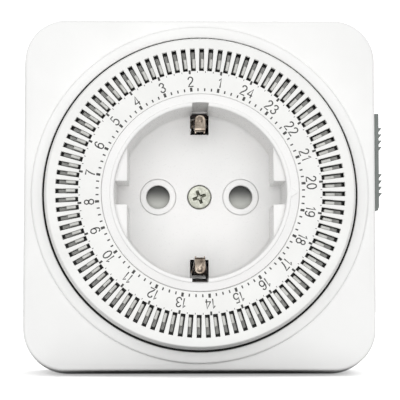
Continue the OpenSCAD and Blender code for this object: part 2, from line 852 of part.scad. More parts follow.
// White dial with the segment slots and the gear ring
module dial_ring() {
    bore_r = collar_r + run;
    color(dial_white) {
        difference() {
            turned() polygon([[bore_r, y_dial], [face_r, y_dial], [face_r + 0.45, y_dial + 0.25],
                [face_r + 0.7, y_dial + 0.9], [dial_r, y_dial + 4.5], [dial_r, y_gear_back],
                [skirt_r, y_gear_back], [skirt_r, y_dial + dial_plate_t],
                [bore_r + hub_t, y_dial + dial_plate_t], [bore_r + hub_t, y_gear_back],
                [bore_r, y_gear_back]]);
            between(y_dial - 1, y_dial + dial_plate_t + 1) slot_plan(slot_w, slot_r0, slot_r1);
        }
        between(y_gear_front, y_gear_back) difference() {
            gear_plan(dial_teeth, gear_m, gear_add, gear_ded, gear_angle + 180 / dial_teeth);
            circle(r = skirt_r + 0.5);
        }
    }
}

// Ring behind the dial's face that keeps the segments upright
module segment_guide() {
    color(dial_white) between(y_guide, y_guide + guide_t) difference() {
        circle(r = skirt_r - snug, $fn = 128);
        circle(r = collar_r + run + hub_t + snug, $fn = 128);
        slot_plan(slot_w, slot_r0, slot_r1);
    }
}

// Segments of one hour. The inner half of each is its finger head
module segments(hour) {
    r0 = slot_r0 + seg_end_gap;
    r1 = slot_r1 - seg_end_gap;
    head_r1 = r0 + slot_len * 0.45;
    y_head = y_dial + 0.3;
    y_step = y_dial + 1.3;
    color(seg_grey) for (q = [0:3])
        rotate([0, -hour_angle(hour) - (q + 0.5) * quarter_step, 0]) {
            block([r0, y_step, -seg_w / 2], [r1, y_seg_foot, seg_w / 2]);
            block([r0, y_head, -seg_w / 2], [head_r1, y_step, seg_w / 2 - 0.1]);
            block([r0 - 0.5, y_seg_foot, -seg_w / 2], [r1 + 0.5, y_seg_end, seg_w / 2]);
        }
}

front_housing();
rear_housing();
housing_screws();
socket_insert();
centre_screw();
contact_carrier();
shutter();
shutter_spring();
plug_pin_live();
plug_pin_neutral();
live_feed();
socket_contact_live();
socket_contact_neutral();
earth_clip_top();
earth_clip_bottom();
earth_strap_top();
earth_strap_bottom();
switch_case();
switch_button();
feeler_lever();
feeler_axle();
feeler_spring();
override_slider();
motor_can();
motor_coil();
motor_plate();
motor_screws();
motor_pinion();
motor_leads();
reduction_gear();
gear_axle();
dial_ring();
segment_guide();
segments(1);  // segments_hour_01
segments(2);  // segments_hour_02
segments(3);  // segments_hour_03
segments(4);  // segments_hour_04
segments(5);  // segments_hour_05
segments(6);  // segments_hour_06
segments(7);  // segments_hour_07
segments(8);  // segments_hour_08
segments(9);  // segments_hour_09
segments(10);  // segments_hour_10
segments(11);  // segments_hour_11
segments(12);  // segments_hour_12
segments(13);  // segments_hour_13
segments(14);  // segments_hour_14
segments(15);  // segments_hour_15
segments(16);  // segments_hour_16
segments(17);  // segments_hour_17
segments(18);  // segments_hour_18
segments(19);  // segments_hour_19
segments(20);  // segments_hour_20
segments(21);  // segments_hour_21
segments(22);  // segments_hour_22
segments(23);  // segments_hour_23
segments(24);  // segments_hour_24
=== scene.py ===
"""Looks of a plug-in 24 hour timer switch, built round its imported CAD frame.

Everything is drawn in millimetres, in the frame's own axes: X to the override slider, +Y along
the plug pins, Z up. A finished piece is brought to metres and hung on its body.
"""

import logging
import math
from dataclasses import dataclass
from enum import Enum
from typing import Callable, Iterable, Sequence

import bmesh
import bpy
from mathutils import Matrix, Vector


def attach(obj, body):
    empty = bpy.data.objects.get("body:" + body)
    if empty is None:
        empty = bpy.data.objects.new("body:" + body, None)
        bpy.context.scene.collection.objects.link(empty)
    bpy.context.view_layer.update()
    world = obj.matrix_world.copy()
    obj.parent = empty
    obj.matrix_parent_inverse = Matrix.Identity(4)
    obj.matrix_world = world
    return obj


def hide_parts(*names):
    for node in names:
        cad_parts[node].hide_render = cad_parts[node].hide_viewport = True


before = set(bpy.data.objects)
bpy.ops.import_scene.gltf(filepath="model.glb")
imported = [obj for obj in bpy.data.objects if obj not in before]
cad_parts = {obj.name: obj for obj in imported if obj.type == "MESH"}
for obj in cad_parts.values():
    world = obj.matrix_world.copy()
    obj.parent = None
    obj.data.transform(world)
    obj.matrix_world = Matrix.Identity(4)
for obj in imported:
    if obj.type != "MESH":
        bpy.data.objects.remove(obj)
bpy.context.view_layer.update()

log = logging.getLogger("timer")
# Millimetres: corners nearer than DOUBLE are merged, SAME and NEAR are the play in tests of a place
DOUBLE, SAME, NEAR = 0.0005, 0.001, 0.01
# Degrees up to which shading runs smoothly over an edge
SHARP = 35.0
MM = 0.001
Piece, Node, Tree = bpy.types.Object, bpy.types.Node, bpy.types.NodeTree
Profile = list[tuple[float, float]]
Point = tuple[float, float, float]
SIDES = (-1, 1)
CORNERS = [(sx, sz) for sx in SIDES for sz in SIDES]
QUARTER_TURN = math.pi / 2
# Facets round pieces as wide as the dial, round holes and screw heads, and round posts
WIDE, MIDDLE, SMALL = 192, 64, 32


# ---------------------------------------------------------------- finishes


def linear(code: str) -> tuple[float, float, float, float]:
    """Turns an sRGB hex colour into the linear values that a shader takes.

    Args:
        code: Colour such as "#f2f2f0".

    Returns:
        Red, green, blue and an alpha of one.
    """
    parts = [int(code[i : i + 2], 16) / 255 for i in (1, 3, 5)]
    return tuple(c / 12.92 if c <= 0.04045 else ((c + 0.055) / 1.055) ** 2.4 for c in parts) + (1.0,)


def add_node(tree: Tree, kind: str, settings: dict | None = None,
             values: dict | None = None, links: dict | None = None) -> Node:
    """Adds a node with its settings, socket values and incoming links.

    Args:
        tree: Node tree of the material or world.
        kind: Type name of the node, after ShaderNode.
        settings: Attributes of the node.
        values: Values of input sockets, by name or number.
        links: Input socket to a pair of source node and its output.

    Returns:
        The new node.
    """
    node = tree.nodes.new("ShaderNode" + kind)
    for name, value in (settings or {}).items():
        setattr(node, name, value)
    for socket, value in (values or {}).items():
        node.inputs[socket].default_value = value
    for socket, (source, output) in (links or {}).items():
        tree.links.new(source.outputs[output], node.inputs[socket])
    return node


@dataclass(frozen=True)
class Finish:
    """A surface finish: two tones that drift into each other, and a fine relief.

    Attributes:
        name: Name of the material.
        tone: Main colour, sRGB hex.
        drift: Second colour, sRGB hex, in soft patches.
        patch: Size of the patches in millimetres.
        polish: Roughness of the shiniest places.
        dull: Roughness of the dullest places.
        grain: Size of the relief's grain in millimetres.
        relief: Height of the relief in millimetres.
    """

    name: str
    tone: str
    drift: str
    patch: float = 9.0
    polish: float = 0.3
    dull: float = 0.42
    grain: float = 0.35
    relief: float = 0.004

    def shader_values(self) -> dict:
        """Values that are the same all over the surface."""
        return {"IOR": 1.5}

    def stretch(self) -> Point:
        """How much the grain is drawn out along X, Y and Z."""
        return (1.0, 1.0, 1.0)

    def build(self) -> bpy.types.Material:
        """Makes the material, once.

        Returns:
            The material, with its colour, roughness and relief on Object coordinates.
        """
        if self.name in bpy.data.materials:
            return bpy.data.materials[self.name]
        material = bpy.data.materials.new(self.name)
        material.use_nodes = True
        tree = material.node_tree
        shader = tree.nodes["Principled BSDF"]
        for socket, value in self.shader_values().items():
            shader.inputs[socket].default_value = value
        place = add_node(tree, "TexCoord")
        drawn = add_node(tree, "Mapping", values={"Scale": self.stretch()},
                         links={"Vector": (place, "Object")})
        patches = add_node(tree, "TexNoise", values={"Scale": 1 / (self.patch * MM), "Detail": 3.0},
                           links={"Vector": (place, "Object")})
        grain = add_node(tree, "TexNoise", values={"Scale": 1 / (self.grain * MM), "Detail": 2.0},
                         links={"Vector": (drawn, "Vector")})
        self.colour(tree, shader, place, patches)
        gloss = add_node(tree, "MapRange", values={"From Min": 0.3, "From Max": 0.7,
                         "To Min": self.polish, "To Max": self.dull}, links={"Value": (grain, "Fac")})
        tree.links.new(gloss.outputs["Result"], shader.inputs["Roughness"])
        bump = add_node(tree, "Bump", values={"Strength": 0.6, "Distance": self.relief * MM},
                        links={"Height": (grain, "Fac")})
        tree.links.new(bump.outputs["Normal"], shader.inputs["Normal"])
        return material

    def colour(self, tree: Tree, shader: Node, place: Node, patches: Node) -> None:
        """Gives the shader its colour.

        Args:
            tree: Tree of the material.
            shader: Its shader.
            place: Node with the coordinates; not used here.
            patches: Noise of the soft patches.
        """
        tones = add_node(tree, "ValToRGB", links={"Fac": (patches, "Fac")})
        tones.color_ramp.elements[0].position = 0.35
        tones.color_ramp.elements[0].color = linear(self.tone)
        tones.color_ramp.elements[1].position = 0.68
        tones.color_ramp.elements[1].color = linear(self.drift)
        tree.links.new(tones.outputs["Color"], shader.inputs["Base Color"])


@dataclass(frozen=True)
class MouldedPlastic(Finish):
    """Injection moulded plastic: satin, with the fine skin of a spark-eroded mould."""

    index: float = 1.54

    def shader_values(self) -> dict:
        """Index of the resin, and a reflection that the mould's skin has softened."""
        return {"IOR": self.index, "Specular IOR Level": 0.4}


@dataclass(frozen=True)
class DeepPlastic(MouldedPlastic):
    """Moulded plastic with painted shade: its colour darkens along an axis towards a shaded end, as shade falls
    behind an edge.
    """

    # Colour of the painted shade; top and bottom are the levels in millimetres where it starts and where it is
    # full
    deep: str = "#2e2e2d"
    top: float = -40.5
    bottom: float = -38.0
    axis: str = "Y"

    def colour(self, tree: Tree, shader: Node, place: Node, patches: Node) -> None:
        """Gives the shader its colour, with painted shade from the open end to the shaded one.

        Args:
            tree: Tree of the material.
            shader: Its shader.
            place: Node with the coordinates.
            patches: Noise of the soft patches.
        """
        super().colour(tree, shader, place, patches)
        tones = shader.inputs["Base Color"].links[0].from_node
        # Painted shade: the colour mixes into the dark one along the axis
        split = add_node(tree, "SeparateXYZ", links={"Vector": (place, "Object")})
        depth = add_node(tree, "MapRange", {"interpolation_type": "SMOOTHSTEP"},
                         {"From Min": self.top * MM, "From Max": self.bottom * MM},
                         {"Value": (split, self.axis)})
        painted_shade_mix = add_node(tree, "Mix", {"data_type": "RGBA"}, {7: linear(self.deep)},
                         {"Factor": (depth, "Result"), 6: (tones, "Color")})
        tree.links.new(painted_shade_mix.outputs[2], shader.inputs["Base Color"])


@dataclass(frozen=True)
class Metal(Finish):
    """Bare or plated metal, drawn or rolled along one axis."""

    along: Point = (1.0, 1.0, 0.15)

    def shader_values(self) -> dict:
        """A metal all over, with the shader's own index."""
        return {"Metallic": 1.0}

    def stretch(self) -> Point:
        """Draws the grain out along the rolling direction."""
        return self.along


@dataclass(frozen=True)
class WoundWire(Metal):
    """Enamelled wire, wound in turns side by side along Y."""

    wire: float = 0.45

    def colour(self, tree: Tree, shader: Node, place: Node, patches: Node) -> None:
        """Gives the shader painted highlights and shade, in bands along the turns.

        Args:
            tree: Tree of the material.
            shader: Its shader.
            place: Node with the coordinates.
            patches: Noise of the soft patches; not used here.
        """
        # Painted highlights and shade: the colour runs light and dark in bands, turn by turn
        turns = add_node(tree, "TexWave", {"bands_direction": "Y"},
                         {"Scale": 1 / (self.wire * MM) / 20, "Distortion": 0.4},
                         {"Vector": (place, "Object")})
        super().colour(tree, shader, place, turns)


class Finishes(Enum):
    """Every finish of the timer, by the piece or the stuff that it is on."""

    # ABS, satin white: an even, slightly cool white that stays soft in its highlights
    COVER = MouldedPlastic("white_abs_cover", "#ededec", "#e9e9e8", 14.0, 0.36, 0.46, 0.3, 0.003)
    # ABS of the well, from a polished mould: the same white, a little glossier
    WELL = MouldedPlastic("white_abs_well", "#ecebea", "#e8e8e7", 10.0, 0.26, 0.36, 0.35, 0.002)
    # ABS of the dial: matt, so that its printing reads from any side, with painted shade that makes it dark
    # down in the gap round it
    DIAL = DeepPlastic("white_abs_dial", "#ececea", "#e7e7e5", 8.0, 0.42, 0.52, 0.25, 0.003, 1.54,
                       "#2b2b2a", -35.4, -34.5)
    # Acetal of the segments: waxy grey, light on the finger heads, with painted shade that makes them dark down
    # in the slots
    SEGMENT = DeepPlastic("grey_acetal_segment", "#c9c9c5", "#b5b5b1", 1.6, 0.34, 0.5, 0.25, 0.004, 1.48,
                          "#383837", -40.5, -37.7)
    # ABS of the slider: greenish grey with a fine matt skin
    SLIDER = MouldedPlastic("grey_abs_slider", "#7a807d", "#727875", 3.0, 0.4, 0.55, 0.3, 0.006)
    # Polycarbonate of the shutter: light grey, with a painted shadow that darkens it towards the top, as under
    # the upper edge of the pin holes
    SHUTTER = DeepPlastic("grey_polycarbonate_shutter", "#cdcec8", "#c2c3bd", 3.0, 0.35, 0.5, 0.3, 0.004, 1.58,
                          "#262724", -2.4, 2.0, "Z")
    # Phenolic of the switch and the contact plate: brown-black, dull, slightly mottled by its filler
    THERMOSET = MouldedPlastic("brown_black_phenolic", "#33221f", "#43302b", 1.2, 0.45, 0.62, 0.2, 0.008, 1.6)
    # Acetal of gears and levers: milky, waxy
    ACETAL = MouldedPlastic("natural_acetal", "#e4dfd0", "#d9d3c2", 5.0, 0.3, 0.42, 0.3, 0.003, 1.48)
    # PVC of the leads: blue, soft gloss
    LEAD = MouldedPlastic("blue_pvc_lead", "#2f5488", "#284a79", 4.0, 0.28, 0.4, 0.4, 0.004)
    # Nickel plate on brass: warm, bright, with faint rolling lines
    NICKEL = Metal("nickel_plated_brass", "#d3cabc", "#c4b8a7", 4.0, 0.18, 0.34, 0.3, 0.003, (0.15, 1.0, 1.0))
    # Earth clips: rolled bronze under worn nickel, browner where it is rubbed
    CLIP = Metal("worn_nickel_bronze", "#9a8f83", "#63584f", 1.4, 0.16, 0.34, 0.25, 0.004, (1.0, 0.2, 0.2))
    # Zinc plate on steel: cool, slightly cloudy
    ZINC = Metal("zinc_plated_steel", "#9c9d94", "#7f8077", 1.1, 0.24, 0.45, 0.25, 0.006, (1.0, 1.0, 1.0))
    # Drawn spring and shaft steel: darker and smoother, with lines along the wire
    STEEL = Metal("drawn_steel", "#a2a5aa", "#8a8d92", 3.0, 0.2, 0.36, 0.3, 0.003, (0.2, 1.0, 1.0))
    # Rolled copper bars: reddish, dulled by handling
    COPPER = Metal("rolled_copper", "#b87952", "#9c5f3c", 3.0, 0.24, 0.42, 0.3, 0.004, (0.2, 1.0, 1.0))
    # Winding: amber enamel over copper, with painted highlights and shade in bands, turn by turn
    WINDING = WoundWire("enamelled_copper_winding", "#c07a3e", "#7a431f", 2.0, 0.2, 0.34, 0.3, 0.004)
    # Pad-printed ink: dark grey, matt, slightly uneven in its cover
    INK = MouldedPlastic("grey_printing_ink", "#323231", "#414140", 0.8, 0.55, 0.7, 0.12, 0.002)
    INK_BOLD = MouldedPlastic("black_printing_ink", "#2c2c2b", "#3c3c3a", 0.8, 0.55, 0.7, 0.12, 0.002)
    # Felt under the timer's card: black, so that no light comes back from below
    FELT = MouldedPlastic("black_felt", "#050505", "#080808", 3.0, 0.9, 1.0, 0.5, 0.004)

    def material(self) -> bpy.types.Material:
        """The finish as a material."""
        return self.value.build()


# ---------------------------------------------------------------- bench work


def lay_aside() -> None:
    """Leaves edit mode and deselects everything."""
    if bpy.context.object and bpy.context.object.mode != "OBJECT":
        bpy.ops.object.mode_set(mode="OBJECT")
    bpy.ops.object.select_all(action="DESELECT")


def take_up(*pieces: Piece, edit: bool = False) -> None:
    """Selects pieces, the first one active.

    Args:
        pieces: The pieces.
        edit: Whether to open the first one in edit mode, with nothing selected.
    """
    lay_aside()
    for piece in pieces:
        piece.select_set(True)
    bpy.context.view_layer.objects.active = pieces[0]
    if edit:
        bpy.ops.object.mode_set(mode="EDIT")
        bpy.ops.mesh.select_mode(type="VERT")
        bpy.ops.mesh.select_all(action="DESELECT")


def settled() -> Piece:
    """Moves the place, turn and size of the active piece into its mesh."""
    bpy.ops.object.transform_apply(location=True, rotation=True, scale=True)
    return bpy.context.object


def block(one: Point, other: Point) -> Piece:
    """Adds a block by two opposite corners.

    Args:
        one: A corner.
        other: The corner across.

    Returns:
        The block, with its place in its mesh.
    """
    lay_aside()
    low, high = (Vector([choose(pair) for pair in zip(one, other)]) for choose in (min, max))
    bpy.ops.mesh.primitive_cube_add(size=1, location=(low + high) / 2)
    bpy.context.object.scale = high - low
    return settled()


def round_bar(radius: float, y0: float, y1: float, x: float = 0, z: float = 0, sides: int = 48) -> Piece:
    """Adds a round bar along Y, with its place in its mesh.

    Args:
        radius: Radius of the bar.
        y0: Its front end.
        y1: Its rear end.
        x: Place of its axis along X.
        z: Place of its axis along Z.
        sides: Number of flats round it.

    Returns:
        The bar.
    """
    lay_aside()
    bpy.ops.mesh.primitive_cylinder_add(vertices=sides, radius=radius, depth=y1 - y0,
                                        location=(x, (y0 + y1) / 2, z), rotation=(QUARTER_TURN, 0, 0))
    return settled()


def rounded(corners: Sequence[Point], steps: int = 4) -> Profile:
    """Rounds the corners of a closed outline.

    Args:
        corners: Points as radius, level and rounding of each corner.
        steps: Number of facets on each rounding.

    Returns:
        The points of the rounded outline.
    """
    points: Profile = []
    for i, (r, y, radius) in enumerate(corners):
        here = Vector((r, y))
        if radius <= 0:
            points.append((r, y))
            continue
        back = Vector(corners[i - 1][:2]) - here
        ahead = Vector(corners[(i + 1) % len(corners)][:2]) - here
        half = back.angle(ahead) / 2
        reach = min(radius / math.tan(half), back.length * 0.49, ahead.length * 0.49)
        start, end, weight = here + back.normalized() * reach, here + ahead.normalized() * reach, math.sin(half)
        for k in range(steps + 1):
            s = k / steps
            a, b, c = (1 - s) ** 2, 2 * weight * s * (1 - s), s ** 2
            points.append(tuple((start * a + here * b + end * c) / (a + b + c)))
    return points


def open_up(piece: Piece) -> None:
    """Opens a piece in edit mode, with all of it selected."""
    take_up(piece, edit=True)
    bpy.ops.mesh.select_all(action="SELECT")


def draw_outline(points: Sequence[Point]) -> Piece:
    """Adds a ring of edges, moves its corners to given points and opens it in edit mode.

    Args:
        points: The places of the corners.

    Returns:
        The outline, whose corners carry their number in an attribute.
    """
    lay_aside()
    bpy.ops.mesh.primitive_circle_add(vertices=len(points), radius=1, fill_type="NOTHING")
    piece = bpy.context.object
    number = piece.data.attributes.new("number", "INT", "POINT")
    for i, point in enumerate(points):
        piece.data.vertices[i].co = point
        number.data[i].value = i
    open_up(piece)
    return piece


def close_up(piece: Piece) -> Piece:
    """Merges doubles, drops loose edges and turns the faces outwards.

    Args:
        piece: The piece.

    Returns:
        The same piece.
    """
    open_up(piece)
    bpy.ops.mesh.remove_doubles(threshold=DOUBLE)
    bpy.ops.mesh.delete_loose(use_verts=True, use_edges=True, use_faces=False)
    bpy.ops.mesh.select_all(action="SELECT")
    bpy.ops.mesh.normals_make_consistent(inside=False)
    lay_aside()
    return piece


def spun(points: Sequence[Point], steps: int, axis: Point) -> Piece:
    """Spins a closed outline round an axis through the origin.

    Args:
        points: Corners of the outline.
        steps: Number of facets round the axis.
        axis: The axis.

    Returns:
        The piece.
    """
    piece = draw_outline(points)
    bpy.ops.mesh.spin(steps=steps, angle=math.tau, center=(0, 0, 0), axis=axis)
    return close_up(piece)


def turned(corners: Sequence[Point], steps: int = 128, facets: int = 4) -> Piece:
    """Turns a closed profile round the main axis, as on a lathe.

    Args:
        corners: Points as radius, level and rounding.
        steps: Number of facets round the axis.
        facets: Number of facets on each rounding.

    Returns:
        The turned piece.
    """
    return spun([(r, y, 0) for r, y in rounded(corners, facets)], steps, (0, 1, 0))


def tube(bore: float, outside: float, end: float, root: float, steps: int = SMALL,
         edges: tuple[float, float] = (0.1, 0.2)) -> Piece:
    """Turns a tube round the main axis.

    Args:
        bore: Inner radius.
        outside: Outer radius.
        end: Level of its free end.
        root: Level of its other end.
        steps: Number of facets round the axis.
        edges: Rounding of the inner and the outer edge of the free end.

    Returns:
        The tube.
    """
    return turned([(bore, end, edges[0]), (outside, end, edges[1]), (outside, root, 0), (bore, root, 0)], steps)


def pick(piece: Piece, kind: str, test: Callable[[bmesh.types.BMEdge | bmesh.types.BMFace], bool]) -> None:
    """Selects edges or faces of the piece in hand by their place or normal.

    Args:
        piece: The piece, in edit mode.
        kind: EDGE or FACE.
        test: Whether an edge or a face is wanted.
    """
    bpy.ops.mesh.select_all(action="DESELECT")
    bpy.ops.mesh.select_mode(type=kind)
    mesh = bmesh.from_edit_mesh(piece.data)
    for part in mesh.edges if kind == "EDGE" else mesh.faces:
        if test(part):
            part.select_set(True)
    bmesh.update_edit_mesh(piece.data)


def stacked(outlines: Sequence[Sequence[Point]], filled: bool = True) -> Piece:
    """Extrudes the first outline from one outline to the next.

    Args:
        outlines: Outlines with equal numbers of points.
        filled: Whether the first and the last outline get a face.

    Returns:
        The piece.
    """
    piece = draw_outline(outlines[0])
    if filled:
        bpy.ops.mesh.edge_face_add()
    pick(piece, "EDGE", lambda edge: True)
    for outline in outlines[1:]:
        bpy.ops.mesh.extrude_edges_indiv()
        mesh = bmesh.from_edit_mesh(piece.data)
        number = mesh.verts.layers.int["number"]
        for vertex in mesh.verts:
            if vertex.select:
                vertex.co = outline[vertex[number]]
        bmesh.update_edit_mesh(piece.data)
    if filled:
        bpy.ops.mesh.edge_face_add()
    return close_up(piece)


def pushed_out(points: Sequence[Point], push: Point) -> Piece:
    """Fills an outline and extrudes it.

    Args:
        points: Corners of the outline.
        push: Way and length of the extrusion.

    Returns:
        The piece.
    """
    piece = draw_outline(points)
    bpy.ops.mesh.edge_face_add()
    bpy.ops.mesh.extrude_region_move(TRANSFORM_OT_translate={"value": push})
    return close_up(piece)


def rounded_square(width: float, radius: float, level: float, count: int = 96) -> list[Point]:
    """Outline of a square with round corners, square to the main axis.

    Args:
        width: Width over the flats.
        radius: Radius of the corners.
        level: Place along Y.
        count: Number of points.

    Returns:
        The points, counter-clockwise as seen from the front.
    """
    points = []
    for i in range(count):
        corner, step = divmod(i, count // 4)
        angle = math.radians(90 * corner + 90 * step / (count // 4 - 1))
        side = width / 2 - radius
        points.append((side * (1 if corner in (0, 3) else -1) + radius * math.cos(angle), level,
                       side * (1 if corner in (0, 1) else -1) + radius * math.sin(angle)))
    return points


def fitted(piece: Piece, tools: Iterable[Piece], how: str = "DIFFERENCE") -> Piece:
    """Cuts, joins or trims a piece with others, which are used up.

    Args:
        piece: The piece.
        tools: The other bodies.
        how: DIFFERENCE, UNION or INTERSECT.

    Returns:
        The same piece.
    """
    for tool in tools:
        take_up(piece)
        cut = piece.modifiers.new("fitted", "BOOLEAN")
        cut.operation, cut.object, cut.solver = how, tool, "EXACT"
        bpy.ops.object.modifier_apply(modifier=cut.name)
        bpy.data.objects.remove(tool, do_unlink=True)
    return close_up(piece)


def softened(piece: Piece, width: float, facets: int = 2, sharp: float = 40) -> Piece:
    """Rounds the sharp edges of a piece.

    Args:
        piece: The piece.
        width: Width of the rounding.
        facets: Facets on it.
        sharp: Least angle, in degrees, of an edge that is rounded.

    Returns:
        The same piece.
    """
    take_up(piece)
    edge = piece.modifiers.new("softened", "BEVEL")
    edge.width, edge.segments, edge.limit_method = width, facets, "ANGLE"
    edge.angle_limit = math.radians(sharp)
    bpy.ops.object.modifier_apply(modifier=edge.name)
    return piece


def gathered(pieces: Sequence[Piece]) -> Piece:
    """Joins pieces into one object.

    Args:
        pieces: The pieces.

    Returns:
        The first piece, with the meshes of the others.
    """
    take_up(*pieces)
    if len(pieces) > 1:
        bpy.ops.object.join()
    return bpy.context.view_layer.objects.active


def copied(piece: Piece, moves: Iterable[Matrix]) -> list[Piece]:
    """Copies a piece to several places, each copy with its own mesh. The piece itself is used up.

    Args:
        piece: The pattern.
        moves: Where each copy goes.

    Returns:
        The copies.
    """
    copies = []
    for move in moves:
        take_up(piece)
        bpy.ops.object.duplicate(linked=False)
        bpy.context.object.data.transform(move)
        if move.determinant() < 0:
            bpy.context.object.data.flip_normals()
        copies.append(bpy.context.object)
    bpy.data.objects.remove(piece, do_unlink=True)
    return copies


def hang(piece: Piece, name: str, body: str, finish: Finishes,
         stands_for: Sequence[str] = (), sharp: float = SHARP) -> None:
    """Brings a piece from millimetres into the frame, gives it its finish and hangs it on its body.

    Args:
        piece: The piece, in millimetres.
        name: Its name.
        body: The CAD body that carries it.
        finish: Its finish.
        stands_for: CAD nodes that it replaces.
        sharp: Greatest angle, in degrees, over which shading runs smoothly.
    """
    take_up(piece)
    settled()
    piece.data.transform(Matrix.Scale(MM, 4))
    bpy.ops.object.shade_smooth_by_angle(angle=math.radians(sharp))
    if "number" in piece.data.attributes:
        piece.data.attributes.remove(piece.data.attributes["number"])
    piece.name = piece.data.name = name
    piece.data.materials.clear()
    piece.data.materials.append(finish.material())
    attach(piece, body)
    if stands_for:
        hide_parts(*stands_for)
    log.info("%s: %d faces, on %s", name, len(piece.data.polygons), body)


def turn_to(degrees: float) -> Matrix:
    """Turn about the main axis, counter-clockwise as seen from the front."""
    return Matrix.Rotation(-math.radians(degrees), 4, "Y")


def at(x: float, y: float, z: float) -> Matrix:
    """Move to a place."""
    return Matrix.Translation((x, y, z))


def at_corners(reach: float) -> list[Matrix]:
    """Moves to the four corners of a square round the main axis."""
    return [at(sx * reach, 0, sz * reach) for sx, sz in CORNERS]


def at_sides(reach: float) -> list[Matrix]:
    """Moves to the left and to the right of the main axis."""
    return [at(s * reach, 0, 0) for s in SIDES]


# ---------------------------------------------------------------- the timer


@dataclass(frozen=True)
class Levels:
    """Places along Y in millimetres: zero at the rear face, negative towards the front."""

    plug_end: float = 17.0
    screw_seat: float = -1.8
    seam: float = -22.0
    centre_seat: float = -22.9
    floor: float = -24.0
    gear_back: float = -29.2
    gear_front: float = -31.0
    face: float = -33.9
    ring: float = -34.9
    dial: float = -40.9
    collar: float = -41.15
    rim: float = -41.5


@dataclass(frozen=True)
class Axes:
    """Axes that several pieces share, in millimetres from the main axis along X and Z."""

    post: float = 34.9
    pin: float = 9.5


@dataclass
class FrontCover:
    """White front cover with the raised ring round the dial."""

    width: float = 78.5
    flare: float = 1.25
    corner: float = 9.2
    edge: float = 0.6
    edge_facets: int = 4
    seam_lip: float = 0.12
    wall: float = 2.0
    ring_out: float = 37.7
    ring_in: float = 35.15
    ring_lip: float = 0.5
    ring_root: float = 1.5
    sleeve: float = 0.6
    post: tuple[float, float] = (1.3, 2.5)
    post_length: float = 5.6

    def half_section(self, inset: float) -> list[list[Point]]:
        """Outlines from the front face back to the seam.

        Args:
            inset: How far inside the outer surface they lie.

        Returns:
            The outlines.
        """
        centre = max(self.edge, inset)
        radius = centre - inset
        outlines, last = [], self.edge_facets
        for k in range(last, -1, -1) if radius > 0 else [last]:
            a = QUARTER_TURN * k / last
            out = centre - radius * math.cos(a)
            outlines.append(rounded_square(self.width - 2 * out, self.corner - out,
                                           Levels.face + centre - radius * math.sin(a)))
        lip = 0.0 if inset else self.seam_lip
        w, r = self.width + 2 * self.flare - 2 * inset, self.corner + self.flare - inset
        if lip:
            outlines.append(rounded_square(w - lip * 0.1, r, Levels.seam - lip))
        outlines.append(rounded_square(w - 2 * lip, r - lip, Levels.seam))
        return outlines

    def shell(self) -> Piece:
        """Hollow cover with its opening and the ring.

        Returns:
            The cover.
        """
        piece = stacked(self.half_section(self.wall) + self.half_section(0)[::-1])
        y, out, lip = Levels, self.ring_out, self.ring_in
        sleeve, bore, root, end = out - self.sleeve, out - 1, y.face + self.ring_root, y.gear_front - 0.3
        piece = fitted(piece, [round_bar(sleeve, y.face - 1, y.seam + 1, sides=WIDE)])
        ring = turned([(lip, y.ring, 0.2), (out, y.ring, 0.5), (out, root, 0), (sleeve, root, 0),
                       (sleeve, end, 0), (bore, end, 0), (bore, y.ring + 1, 0),
                       (lip, y.ring + self.ring_lip, 0)], WIDE)
        return fitted(piece, [ring], "UNION")

    def build(self) -> None:
        """Makes the cover with its four screw posts."""
        seam = Levels.seam
        post = tube(*self.post, seam, seam - self.post_length, edges=(0.15, 0.15))
        hang(gathered([self.shell()] + copied(post, at_corners(Axes.post))), "front_cover", "housing",
             Finishes.COVER, ["front_housing"])


